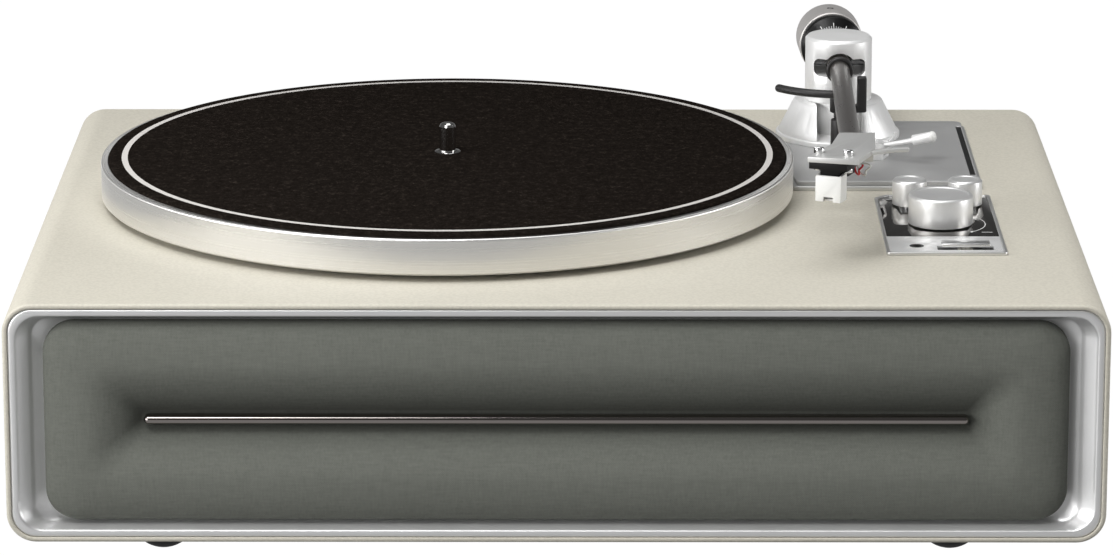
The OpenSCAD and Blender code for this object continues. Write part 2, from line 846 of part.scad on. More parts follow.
// The curved bar that carries the tube over a record, on its post
module lift_bar() {
    color("black") {
        translate([piv_x, piv_y, lift_z]) intersection() {
            rotate_extrude($fn = 96) translate([lift_arc_r, 0]) circle(lift_bar_r, $fn = 24);
            translate([0, 0, -5]) linear_extrude(10) polygon([[0, 0],
                60 * [sin(lift_a0), -cos(lift_a0)], 60 * [-sin(lift_a1), -cos(lift_a1)]]);
        }
        translate([piv_x - lift_arc_r * sin(lift_a1), piv_y - lift_arc_r * cos(lift_a1), lift_z])
            sphere(lift_bar_r);
        post(piv_x - 1.5, piv_y - lift_arc_r, plate_z1 + 8.2, lift_z, lift_post_r);
    }
}

module lever_frame() {
    translate([lever_x, lever_y, lever_z]) rotate([0, 0, lever_ang]) children();
}

module lever_bracket() {
    color("silver") lever_frame() difference() {
        union() {
            for (s = [-1, 1])
                translate([-3.4, s * 4 - 1, -lever_z + plate_z1]) cube([6.8, 2, lever_z - plate_z1 + 2.4]);
            translate([-3.4, -3.5, -lever_z + plate_z1]) cube([6.8, 7, 1.4]);
        }
        translate([0, 6, 0]) rotate([90, 0, 0]) cylinder(h = 12, r = lever_pin_r + run_fit);
    }
    color("silver") translate([skate_x, skate_y, plate_z1]) {
        cylinder(h = 5.2, r = skate_pin_r);
        translate([0, 0, 4.9]) cylinder(h = 0.8, r = skate_pin_r + 0.8);
    }
}

module cue_lever() {
    color("silver") lever_frame() {
        translate([0, 5, 0]) rotate([90, 0, 0]) cylinder(h = 10, r = lever_pin_r);
        translate([0, 2.7, 0]) rotate([90, 0, 0]) cylinder(h = 5.4, r = lever_hub_r);
        rotate([0, 75, 0]) {
            cylinder(h = 17, r = 1.1);
            translate([0, 0, 16.5]) cylinder(h = 9, r = 2.3);
        }
    }
}

module antiskate_lever() {
    color("silver") translate([skate_x, skate_y, plate_z1]) difference() {
        union() {
            translate([0, 0, gap]) cylinder(h = 4.4, r = 2.6);
            translate([0, -1.2, 3.5]) cube([8, 2.4, 1.2]);
            translate([7, 1.2, 9.5]) rotate([90, 0, 0]) intersection() {
                rotate_extrude() translate([4.8, 0]) square([1.2, 2.4]);
                translate([0, -8, -1]) cube([8, 8, 5]);
            }
        }
        translate([0, 0, -1]) cylinder(h = 9, r = skate_pin_r + run_fit);
    }
}

// ---------- tonearm ----------

module pivot_housing() {
    color("silver") difference() {
        union() {
            translate([piv_x, piv_y, housing_z0]) turned(housing_h, housing_r, 1.2);
            post(piv_x, piv_y, pillar_z0 + 5, housing_z0 + 1, yaw_r);
        }
        rod_y(piv_x, arm_z, piv_y - 20, piv_y + 20, slot_r);
        along_y(piv_y - 20, piv_y + 20) translate([piv_x, arm_z]) round_rect(lobe_w, lobe_h, lobe_r);
        translate([piv_x - 14, piv_y, arm_z]) rotate([0, 90, 0]) cylinder(h = 28, r = axle_r);
    }
}

module pitch_axle() {
    color("gray") translate([piv_x - 14, piv_y, arm_z]) rotate([0, 90, 0])
        cylinder(h = 28, r = axle_r - 0.01);
}

// Places a child at the pivot, its -Y along the parked tube
module tube_frame() {
    translate([piv_x, piv_y, arm_z]) rotate([-arm_rise, 0, -arm_in]) children();
}

// Places a child at the pivot, its +Y along the rear shaft
module tail_frame() {
    translate([piv_x, piv_y, arm_z]) rotate([0, 0, tail_in]) children();
}

module arm_tube() {
    color("dimgray") difference() {
        tube_frame() rotate([90, 0, 0]) rotate_extrude()
            polygon([[neck_in, -tube_back], [tube_r, -tube_back], [tube_r, ball_y0],
                [ball_r - 0.8, ball_y0 + 0.4], [ball_r, ball_y0 + 1.4], [ball_r, ball_y1 - 1.4],
                [ball_r - 0.8, ball_y1 - 0.4], [neck_r, ball_y1], [neck_r, collar_y - 1],
                [tube_r, collar_y - 0.6], [tube_r, tube_front], [tube_in, tube_front],
                [tube_in, collar_y + 2], [neck_in, collar_y + 2]]);
        translate([piv_x - 10, piv_y, arm_z]) rotate([0, 90, 0]) cylinder(h = 20, r = axle_r + run_fit);
    }
}

module arm_collar() {
    color("black") {
        tube_frame() difference() {
            translate([0, -collar_y, 0]) rotate([90, 0, 0]) rotate_extrude()
                translate([tube_r + 0.7, 0]) circle(1.1, $fn = 24);
            rod_y(0, 0, -collar_y - 5, -collar_y + 5, tube_r);
        }
    }
}

module rear_shaft() {
    color("gray") tail_frame() {
        rod_y(0, 0, tail_start, tail_step, tube_r);
        rod_y(0, 0, tail_step - 1, tail_end, tail_r);
    }
}

module force_dial() {
    color("black") tail_frame() translate([0, dial_back, 0]) rotate([-90, 0, 0]) rotate_extrude()
        polygon([[tail_r + run_fit, 0], [9, 0], [cw_r - 1.2, 4.5], [cw_r - 0.5, 5], [cw_r - 0.5, dial_len],
            [tail_r + run_fit, dial_len]]);
}

module counterweight() {
    color("silver") tail_frame() translate([0, dial_back + dial_len + gap, 0]) rotate([-90, 0, 0])
        rotate_extrude() polygon([[tail_r + run_fit, 0], [cw_r - 0.5, 0], [cw_r, 0.5], [cw_r, cw_len - 0.8],
            [cw_r - 0.8, cw_len], [tail_r + run_fit, cw_len]]);
}

// Places a child in the headshell's frame: -Y forward, X across
module shell_frame() {
    translate([shell_x, shell_y, 0]) rotate([0, 0, -offset_ang]) children();
}

// Places a child in the cartridge's frame, in the middle between its two screws
module cart_frame() {
    shell_frame() translate([cart_x, 0, 0]) children();
}

// The headshell's flat outline: a square-cut front, an inner side that bends and a back across the tube
module shell_outline() {
    polygon([[shell_x - 10.4, shell_y - 0.6], [piv_x - 12.4, shell_y + 23], [piv_x - 8.4, shell_y + 43.3],
        [piv_x + 6.6, shell_y + 43.3], [piv_x + 5.2, shell_y + 16], [shell_x + 10.1, shell_y - 6.2]]);
}

module headshell() {
    color("gainsboro") difference() {
        union() {
            translate([0, 0, shell_z0]) linear_extrude(shell_t) shell_outline();
            block([piv_x - 7, shell_y + 18, arm_z + 2], [piv_x + 4.6, shell_y + 43.3, shell_z0 + 0.1]);
            tube_frame() rod_y(0, 0, -tube_front - 10, -tube_front + 10, tube_in - 0.01);
        }
        cart_frame() for (s = [-1, 1])
            post(s * cart_screw_x, cart_screw_y, shell_z0 - 1, shell_z1 + 1, 1.3);
    }
}

// A wide flange under the headshell, a body behind and the stylus holder as a narrow nose in front
module cartridge() {
    color("black") cart_frame() difference() {
        union() {
            block([-cart_w / 2, cart_y0, shell_z0 - flange_t], [cart_w / 2, cart_y1, shell_z0]);
            block([-nose_w / 2, guard_y0 + guard_wall + gap, guard_z0 + 4],
                [nose_w / 2, cantilever_y + 0.4, shell_z0 - flange_t + 0.1]);
            block([-nose_w / 2 - 1.5, guard_y1 + 1.4, guard_z0 + 9.5],
                [nose_w / 2 + 1.5, cart_y1, shell_z0 - flange_t + 0.1]);
        }
        for (s = [-1, 1]) post(s * cart_screw_x, cart_screw_y, shell_z0 - 9, shell_z0 + 1, 1.3);
    }
}

module stylus() {
    color("silver") cart_frame() {
        translate([0, cantilever_y, guard_z0 + 3.58]) rotate([105, 0, 0]) cylinder(h = 8, r = 0.4);
        translate([0, cantilever_y - 7.7, guard_z0 + 1.15]) cylinder(h = 0.9, r = 0.3);
    }
}

// A channel open at the back, its sides rising a little to the rear, with a notch to see the tip
module stylus_guard() {
    w = guard_in + guard_wall;
    color("white") cart_frame() difference() {
        hull() {
            block([-w, guard_y0, guard_z0], [w, guard_y0 + guard_wall, guard_z0 + guard_h]);
            block([-w, guard_y1 - 1.2, guard_z0], [w, guard_y1, guard_z0 + guard_h + 0.9]);
        }
        block([-guard_in, guard_y0 + guard_wall, guard_z0 + 1], [guard_in, guard_y1 + 1, shell_z0]);
        block([-2, guard_y0 - 1, guard_z0 - 1], [2, guard_y0 + 2, guard_z0 + 2]);
    }
}

// Pan-headed screws with a nut each under the cartridge's flange
module cartridge_screws() {
    color("silver") cart_frame() for (s = [-1, 1]) {
        post(s * cart_screw_x, cart_screw_y, shell_z0 - flange_t - nut_t, shell_z1 + 0.1, 1.25);
        post(s * cart_screw_x, cart_screw_y, shell_z0 - flange_t - nut_t, shell_z0 - flange_t, 2);
        difference() {
            post(s * cart_screw_x, cart_screw_y, shell_z1, shell_z1 + 2.1, 2.1);
            block([s * cart_screw_x - 3, cart_screw_y - 0.3, shell_z1 + 1.3],
                [s * cart_screw_x + 3, cart_screw_y + 0.3, shell_z1 + 3]);
        }
    }
}

// A flat bar that curves gently outwards from the headshell's side
module finger_lift() {
    color("gainsboro") translate([piv_x - 2, shell_y + 8.8, shell_z0 + 0.1]) linear_extrude(shell_t - 0.4)
        difference() {
            intersection() {
                translate([28, -32]) difference() {
                    circle(43.2, $fn = 96);
                    circle(40.6, $fn = 96);
                }
                translate([2.9, -4]) square([18.4, 30]);
            }
            translate([2 - piv_x, -shell_y - 8.8]) shell_outline();
        }
}

// ---------- controls ----------

module control_outline(inset) {
    x0 = ctl_x0 + inset;
    x1 = ctl_x1 - inset;
    y0 = ctl_y0 + inset;
    y1 = ctl_y1 - inset;
    ch = 5;
    polygon([[x0 + 1, y0], [x1 - 1, y0], [x1, y0 + 1], [x1, y1 - 1], [x1 - 1, y1], [x0 + ch, y1],
        [x0, y1 - ch], [x0, y0 + 1]]);
}

module control_holes() {
    for (p = [[vol_x, vol_y], [bass_x, tone_y], [treble_x, tone_y]])
        translate(p) circle(bush_r + gap);
    translate([jack_x, jack_y]) circle(3);
    translate([rocker_x, rocker_y]) square([rocker_l + 3.4, rocker_w + 0.8], center = true);
}

module control_frame() {
    color("silver") translate([0, 0, top_z]) linear_extrude(ctl_t) difference() {
        control_outline(0);
        control_outline(ctl_rim);
    }
}

module control_panel() {
    color("dimgray") translate([0, 0, top_z]) linear_extrude(ctl_t - 0.2) difference() {
        control_outline(ctl_rim);
        translate([ctl_x0 - 5, ctl_split - 100]) square([100, 100]);
        control_holes();
    }
}

module control_strip() {
    color("lightgray") translate([0, 0, top_z]) linear_extrude(ctl_t - 0.1) difference() {
        control_outline(ctl_rim);
        translate([ctl_x0 - 5, ctl_split]) square([100, 100]);
        control_holes();
    }
}

module knob(r, h, depth) {
    translate([0, 0, ctl_z1 + 0.4]) difference() {
        turned(h, r, 0.8);
        translate([0, 0, h - 0.35]) cylinder(h = 1, r = r - 2.2);
    }
    translate([0, 0, ctl_z1 - depth]) cylinder(h = depth + 1, r = stem_r);
}

module volume_knob() {
    color("silver") translate([vol_x, vol_y, 0]) knob(vol_r, vol_h, 18);
}

module bass_knob() {
    color("silver") translate([bass_x, tone_y, 0]) knob(tone_r, tone_h, 18);
}

module treble_knob() {
    color("silver") translate([treble_x, tone_y, 0]) knob(tone_r, tone_h, 18);
}

module control_pots() {
    color("gray") for (p = [[vol_x, vol_y], [bass_x, tone_y], [treble_x, tone_y]])
        difference() {
            union() {
                post(p[0], p[1], deck_z0 - pot_h, deck_z0, pot_r);
                post(p[0], p[1], deck_z0 - 1, ctl_z1 - 0.1, bush_r);
            }
            post(p[0], p[1], ctl_z1 - 18.6, ctl_z1 + 1, stem_r + run_fit);
        }
}

module headphone_jack() {
    color("black") difference() {
        union() {
            post(jack_x, jack_y, deck_z0, ctl_z1 - 0.1, 3);
            post(jack_x, jack_y, deck_z0 - 6, deck_z0, 5);
        }
        post(jack_x, jack_y, ctl_z1 - jack_len, ctl_z1 + 1, jack_r);
    }
}

module speed_rocker() {
    color("silver") {
        block([rocker_x - rocker_l / 2, rocker_y - rocker_w / 2, ctl_z1 + 0.8],
            [rocker_x + rocker_l / 2, rocker_y + rocker_w / 2, ctl_z1 + 0.8 + rocker_t]);
        block([rocker_x - rocker_stem / 2, rocker_y - rocker_stem / 2, ctl_z1 - rocker_drop],
            [rocker_x + rocker_stem / 2, rocker_y + rocker_stem / 2, ctl_z1 + 0.9]);
        rod_y(rocker_x, ctl_z1 - rocker_drop, rocker_y - rocker_stem / 2, rocker_y + rocker_stem / 2,
            rocker_stem / 2);
    }
}

// ---------- rear connections ----------

module rca_jacks() {
    color("gold") for (x = rca_x) difference() {
        union() {
            rod_y(x, conn_z, rear_y0 - 10, back_y - 1.6, rca_r - 0.02);
            rod_y(x, conn_z, rear_y1, rear_y1 + 1, 6);
        }
        rod_y(x, conn_z, back_y - 8, back_y, 3);
    }
}

module dc_inlet() {
    color("black") difference() {
        union() {
            rod_y(dc_x, conn_z, rear_y0 - 12, rear_y1 + 0.5, 4.45);
            rod_y(dc_x, conn_z, rear_y1, rear_y1 + 2, 6.5);
        }
        difference() {
            rod_y(dc_x, conn_z, rear_y1 - 8, rear_y1 + 3, 2.75);
            rod_y(dc_x, conn_z, rear_y1 - 9, rear_y1 + 1, 1.05);
        }
    }
}

module power_rocker() {
    color("black") {
        block([pow_x - 5.7, rear_y0, conn_z - 8], [pow_x + 5.7, rear_y1 + 1.6, conn_z + 8]);
        translate([pow_x - 5.95, rear_y0 + rear_t / 2, conn_z]) rotate([0, 90, 0])
            cylinder(h = 11.9, r = 1.4);
    }
}

deck_board();
bottom_board();
left_board();
right_board();
rear_panel();
leather_wrap();
front_bezel();
speaker_baffle();
grille_pan();
grille_cloth();
grille_bar();
feet();
cabinet_screws();
speaker_baskets();
speaker_magnets();
speaker_cones();
amp_board();
motor();
bearing_housing();
drive_belt();
arm_plate_lower();
arm_plate_upper();
plate_slot();
arm_flange();
arm_cone();
arm_pillar();
armrest();
lever_bracket();
control_frame();
control_panel();
control_strip();
headphone_jack();
control_pots();
rca_jacks();
dc_inlet();
platter();
platter_mat();
spindle();
motor_pulley();
pivot_housing();
pitch_axle();
arm_tube();
arm_collar();
rear_shaft();
headshell();
cartridge();
stylus();
stylus_guard();
cartridge_screws();
finger_lift();
counterweight();
force_dial();
lift_bar();
cue_lever();
antiskate_lever();
volume_knob();
bass_knob();
treble_knob();
speed_rocker();
power_rocker();
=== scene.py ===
# %% [markdown]
# # A leather-wrapped record player
# The engineering model of this record player is already built and packed, part by part. This
# notebook gives it its looks: leather, cloth, turned and brushed metal, and the thin pieces that
# an engineering model leaves out. Everything is in metres, in the frame of the imported model.
# The imported model is loaded first. The looks may not outgrow it.

# %% Load the imported model
import json
import math

import bmesh
import bpy
from mathutils import Matrix, Vector

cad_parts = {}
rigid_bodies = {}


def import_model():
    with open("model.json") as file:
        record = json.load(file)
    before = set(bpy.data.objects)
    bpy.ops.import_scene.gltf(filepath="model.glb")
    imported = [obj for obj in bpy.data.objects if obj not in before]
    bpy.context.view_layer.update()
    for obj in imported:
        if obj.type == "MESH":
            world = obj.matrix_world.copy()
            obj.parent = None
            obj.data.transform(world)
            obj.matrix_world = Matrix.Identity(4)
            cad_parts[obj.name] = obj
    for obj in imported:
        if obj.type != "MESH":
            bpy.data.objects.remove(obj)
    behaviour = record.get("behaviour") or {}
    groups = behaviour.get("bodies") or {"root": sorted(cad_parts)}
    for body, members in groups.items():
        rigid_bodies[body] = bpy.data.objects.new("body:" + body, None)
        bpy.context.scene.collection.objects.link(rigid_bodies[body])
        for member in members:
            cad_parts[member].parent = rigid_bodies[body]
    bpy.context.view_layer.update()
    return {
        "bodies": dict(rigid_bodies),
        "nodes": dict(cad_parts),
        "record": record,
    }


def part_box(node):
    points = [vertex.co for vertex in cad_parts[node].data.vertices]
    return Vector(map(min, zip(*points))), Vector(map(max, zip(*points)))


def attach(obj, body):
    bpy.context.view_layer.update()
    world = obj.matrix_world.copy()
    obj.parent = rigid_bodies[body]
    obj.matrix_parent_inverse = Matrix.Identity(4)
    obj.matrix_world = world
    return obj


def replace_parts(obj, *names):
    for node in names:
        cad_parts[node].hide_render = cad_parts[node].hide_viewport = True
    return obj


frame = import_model()
MM = 0.001

# %% [markdown]
# ## A kit for finishes
# A finish is a Principled shader whose colour, roughness and surface height come from noise that
# is laid out in the piece's own Object coordinates, so it stays put from every side. Almost every
# moulded, cast or painted part here differs only in colour, gloss and the size of its grain, so
# one function makes them all. What is the same all over is set straight on the shader's socket.

# %% Helpers that wire up a shader
def new_shader(name):
    """A material with nothing but a Principled shader: (material, its tree, the shader)."""
    mat = bpy.data.materials.new(name)
    mat.use_nodes = True
    tree = mat.node_tree
    return mat, tree, tree.nodes["Principled BSDF"]


def add(tree, kind, **settings):
    """Adds a node; a setting that names an input socket fills it, the others are properties."""
    node = tree.nodes.new(kind)
    for key, value in settings.items():
        label = key.replace("_", " ")
        if label in node.inputs:
            node.inputs[label].default_value = value
        else:
            setattr(node, key, value)
    return node


def placed(tree, centre=(0, 0, 0), scale=(1, 1, 1)):
    """Object coordinates measured from a centre and stretched by scale."""
    coord = add(tree, "ShaderNodeTexCoord")
    shift = add(tree, "ShaderNodeVectorMath", operation="SUBTRACT")
    shift.inputs[1].default_value = centre
    stretch = add(tree, "ShaderNodeVectorMath", operation="MULTIPLY")
    stretch.inputs[1].default_value = scale
    tree.links.new(coord.outputs["Object"], shift.inputs[0])
    tree.links.new(shift.outputs[0], stretch.inputs[0])
    return stretch.outputs[0]


def noise(tree, vector, scale, detail=3.0, roughness=0.55):
    node = add(tree, "ShaderNodeTexNoise", Scale=scale, Detail=detail, Roughness=roughness)
    tree.links.new(vector, node.inputs["Vector"])
    return node.outputs["Fac"]


def ramp(tree, fac, stops):
    """A colour ramp from [(position, colour), ...]; a single number is a grey."""
    node = add(tree, "ShaderNodeValToRGB")
    band = node.color_ramp
    for i, (place, colour) in enumerate(stops):
        stop = band.elements[i] if i < 2 else band.elements.new(place)
        stop.position = place
        if not hasattr(colour, "__len__"):
            colour = (colour,) * 3
        stop.color = (*colour, 1)
    tree.links.new(fac, node.inputs["Fac"])
    return node.outputs["Color"]


def sums(tree, operation, a, b):
    """One step of arithmetic; a and b are sockets or numbers."""
    node = add(tree, "ShaderNodeMath", operation=operation)
    for socket, value in zip(node.inputs, (a, b)):
        if isinstance(value, (int, float)):
            socket.default_value = value
        else:
            tree.links.new(value, socket)
    return node.outputs[0]


def bump(tree, shader, height, distance, strength=1.0, under=None):
    """Raises the surface by height times distance, in metres, on top of another bump."""
    node = add(tree, "ShaderNodeBump", Strength=strength, Distance=distance)
    tree.links.new(height, node.inputs["Height"])
    if under:
        tree.links.new(under, node.inputs["Normal"])
    tree.links.new(node.outputs["Normal"], shader.inputs["Normal"])
    return node.outputs["Normal"]


def tint(colour, by):
    return tuple(min(1.0, c * by) for c in colour)


# %% One finish for moulded, cast and painted parts
def plain_finish(name, colour, rough, metal=0.0, gloss=0.5, vary=0.06, grain=2600.0, height=0.01,
                 brush=(1, 1, 1), coat=0.0):
    """colour varies by +-vary in soft patches, roughness by +-15%, and the grain stands height mm
    proud. brush squeezes the grain along an axis into brushed lines."""
    mat, tree, shader = new_shader(name)
    shader.inputs["Metallic"].default_value = metal
    shader.inputs["Specular IOR Level"].default_value = gloss
    shader.inputs["Coat Weight"].default_value = coat
    shader.inputs["Coat Roughness"].default_value = 0.1
    soft = noise(tree, placed(tree), 45.0)
    fine = noise(tree, placed(tree, scale=brush), grain)
    both = sums(tree, "ADD", sums(tree, "MULTIPLY", soft, 0.45), sums(tree, "MULTIPLY", fine, 0.55))
    tree.links.new(
        ramp(tree, both, [(0.3, tint(colour, 1 - vary)), (0.7, tint(colour, 1 + vary))]),
        shader.inputs["Base Color"])
    tree.links.new(ramp(tree, both, [(0.3, rough * 0.85), (0.7, min(1.0, rough * 1.15))]),
                   shader.inputs["Roughness"])
    bump(tree, shader, fine, height * MM)
    return mat


def turned_finish(name, colour, rough, centre, pitch=0.35, metal=1.0, height=0.004, vary=0.05):
    """Metal turned on a lathe about a vertical axis: fine grooves in rings, pitch mm apart."""
    mat, tree, shader = new_shader(name)
    shader.inputs["Metallic"].default_value = metal
    flat = placed(tree, centre, (1, 1, 0))
    length = add(tree, "ShaderNodeVectorMath", operation="LENGTH")
    tree.links.new(flat, length.inputs[0])
    rise = add(tree, "ShaderNodeSeparateXYZ")
    tree.links.new(placed(tree, centre), rise.inputs[0])
    across = sums(tree, "ADD", length.outputs["Value"], rise.outputs["Z"])
    rings = add(tree, "ShaderNodeTexNoise", noise_dimensions="1D", Scale=1 / (pitch * MM),
                Detail=3.0, Roughness=0.6)
    tree.links.new(across, rings.inputs["W"])
    lines = rings.outputs["Fac"]
    tree.links.new(ramp(tree, lines, [(0.3, tint(colour, 1 - vary)), (0.7, tint(colour, 1 + vary))]),
                   shader.inputs["Base Color"])
    tree.links.new(ramp(tree, lines, [(0.3, rough * 0.8), (0.7, rough * 1.2)]),
                   shader.inputs["Roughness"])
    bump(tree, shader, lines, height * MM)
    return mat


# %% [markdown]
# ## Leather, cloth, felt and wood
# These four carry most of the picture, so each has a tree of its own. The leather's pebbles are
# cells of a Voronoi pattern with soft creases between them. The front cloth is a plain weave: two
# sets of threads, over and under, with thicker and thinner threads as in real yarn. The mat is
# felt with one printed ring, found from the distance to the platter's centre.

# %% Pebbled leather
def pebbled_leather(name, colour):
    mat, tree, shader = new_shader(name)
    shader.inputs["Specular IOR Level"].default_value = 0.35
    here = placed(tree)
    sway = add(tree, "ShaderNodeTexNoise", Scale=420.0, Detail=2.0)
    tree.links.new(here, sway.inputs["Vector"])
    bent = add(tree, "ShaderNodeVectorMath", operation="MULTIPLY_ADD")
    bent.inputs[1].default_value = (0.0011,) * 3
    tree.links.new(sway.outputs["Color"], bent.inputs[0])
    tree.links.new(here, bent.inputs[2])
    cells = add(tree, "ShaderNodeTexVoronoi", feature="SMOOTH_F1", Scale=760.0, Smoothness=0.35)
    tree.links.new(bent.outputs[0], cells.inputs["Vector"])
    pebble = ramp(tree, cells.outputs["Distance"], [(0.25, 1.0), (0.75, 0.0)])
    patches = noise(tree, here, 9.0, detail=4.0)
    tone = sums(tree, "ADD", sums(tree, "MULTIPLY", pebble, 0.35), sums(tree, "MULTIPLY", patches, 0.65))
    tree.links.new(ramp(tree, tone, [(0.25, tint(colour, 0.93)), (0.75, tint(colour, 1.04))]),
                   shader.inputs["Base Color"])
    tree.links.new(ramp(tree, tone, [(0.2, 0.62), (0.8, 0.46)]), shader.inputs["Roughness"])
    pores = noise(tree, here, 3600.0)
    first = bump(tree, shader, pores, 0.008 * MM)
    bump(tree, shader, pebble, 0.07 * MM, 0.4, under=first)
    return mat


# %% Woven front cloth
def woven_cloth(name, colour, pitch, crest_y, dish_y):
    """A plain weave in the upright plane, pitch metres from thread to thread, with painted shade that darkens
    it toward its folds.
    """
    mat, tree, shader = new_shader(name)
    shader.inputs["Specular IOR Level"].default_value = 0.15
    shader.inputs["Roughness"].default_value = 0.9
    split = add(tree, "ShaderNodeSeparateXYZ")
    tree.links.new(placed(tree), split.inputs[0])
    turn = 2 * math.pi / pitch
    warp = sums(tree, "SINE", sums(tree, "MULTIPLY", split.outputs["X"], turn), 0.0)
    weft = sums(tree, "SINE", sums(tree, "MULTIPLY", split.outputs["Z"], turn), 0.0)
    crossing = sums(tree, "MULTIPLY", warp, weft)
    uprights = noise(tree, placed(tree, scale=(1, 1, 0.14)), 1000.0)
    levels = noise(tree, placed(tree, scale=(0.14, 1, 1)), 1000.0)
    yarn = sums(tree, "ADD", uprights, levels)
    fuzz = noise(tree, placed(tree), 1500.0)
    cover = noise(tree, placed(tree), 14.0)
    tone = sums(tree, "ADD", sums(tree, "MULTIPLY", yarn, 0.32),
                sums(tree, "ADD", sums(tree, "MULTIPLY", fuzz, 0.26), sums(tree, "MULTIPLY", cover, 0.12)))
    tone = sums(tree, "ADD", tone, sums(tree, "MULTIPLY", crossing, 0.05))
    woven = ramp(tree, tone, [(0.34, tint(colour, 0.84)), (0.70, tint(colour, 1.18))])
    # Painted shade: the colour is a little lighter at the crest and darker the deeper the cloth sinks toward
    # the bar.
    sunk = sums(tree, "DIVIDE", sums(tree, "SUBTRACT", split.outputs["Y"], crest_y), dish_y - crest_y)
    painted_fold_shade = ramp(tree, sunk, [(0.0, (1.06, 1.06, 1.06)), (0.35, (0.92, 0.92, 0.92)),
                              (0.75, (0.62, 0.62, 0.62)), (1.0, (0.46, 0.46, 0.46))])
    mixed = add(tree, "ShaderNodeMix", data_type="RGBA", blend_type="MULTIPLY")
    mixed.inputs[0].default_value = 1.0
    tree.links.new(woven, mixed.inputs[6])
    tree.links.new(painted_fold_shade, mixed.inputs[7])
    tree.links.new(mixed.outputs[2], shader.inputs["Base Color"])
    height = sums(tree, "ADD", sums(tree, "MULTIPLY", crossing, 0.5), sums(tree, "MULTIPLY", fuzz, 0.8))
    bump(tree, shader, height, 0.05 * MM, 0.5)
    return mat


# %% Felt with one printed ring, and wood-fibre board
def ringed_felt(name, centre, ring_in, ring_out, felt, ink):
    mat, tree, shader = new_shader(name)
    shader.inputs["Specular IOR Level"].default_value = 0.0
    shader.inputs["Roughness"].default_value = 1.0
    span = add(tree, "ShaderNodeVectorMath", operation="LENGTH")
    tree.links.new(placed(tree, centre, (1, 1, 0)), span.inputs[0])
    fibres = noise(tree, placed(tree), 900.0, detail=4.0, roughness=0.7)
    ragged = sums(tree, "ADD", span.outputs["Value"], sums(tree, "MULTIPLY", fibres, 0.0004))
    inner = sums(tree, "GREATER_THAN", ragged, ring_in)
    outer = sums(tree, "LESS_THAN", ragged, ring_out)
    printed = sums(tree, "MULTIPLY", inner, outer)
    clumps = noise(tree, placed(tree), 240.0, detail=3.0)
    fleck = sums(tree, "ADD", sums(tree, "MULTIPLY", fibres, 0.7), sums(tree, "MULTIPLY", clumps, 0.3))
    cloth = ramp(tree, fleck, [(0.40, tint(felt, 0.7)), (0.55, tint(felt, 1.3)), (0.70, tint(felt, 4.5))])
    mix = add(tree, "ShaderNodeMix", data_type="RGBA")
    tree.links.new(printed, mix.inputs["Factor"])
    tree.links.new(cloth, mix.inputs[6])
    mix.inputs[7].default_value = (*ink, 1)
    tree.links.new(mix.outputs[2], shader.inputs["Base Color"])
    bump(tree, shader, fibres, 0.22 * MM, 0.9)
    return mat


def fibre_board(name, colour):
    mat, tree, shader = new_shader(name)
    shader.inputs["Specular IOR Level"].default_value = 0.2
    shader.inputs["Roughness"].default_value = 0.85
    chips = add(tree, "ShaderNodeTexVoronoi", Scale=900.0)
    tree.links.new(placed(tree, scale=(1, 1, 3)), chips.inputs["Vector"])
    haze = noise(tree, placed(tree), 160.0)
    tone = sums(tree, "ADD", sums(tree, "MULTIPLY", chips.outputs["Distance"], 0.5),
                sums(tree, "MULTIPLY", haze, 0.5))
    tree.links.new(ramp(tree, tone, [(0.2, tint(colour, 0.7)), (0.7, tint(colour, 1.15))]),
                   shader.inputs["Base Color"])
    bump(tree, shader, tone, 0.06 * MM)
    return mat


# %% [markdown]
# ## The finishes of this record player
# The imported record gives each part a slot. One finish is made for each slot, and the turned parts
# get their grooves about their own axis, read from the part's box. Colours are what the paint,
# cloth or metal is, without any light in them, except the front cloth, whose colour carries painted shade
# toward its folds.

# %% Where the round parts have their middles
def middle(node):
    low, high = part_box(node)
    return (low + high) / 2


platter_mid = middle("platter")
mat_low, mat_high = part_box("platter_mat")
mat_radius = (mat_high.x - mat_low.x) / 2
cab_low, cab_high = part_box("leather_wrap")
print("platter centre", [round(v, 4) for v in platter_mid], "mat radius", round(mat_radius, 4))

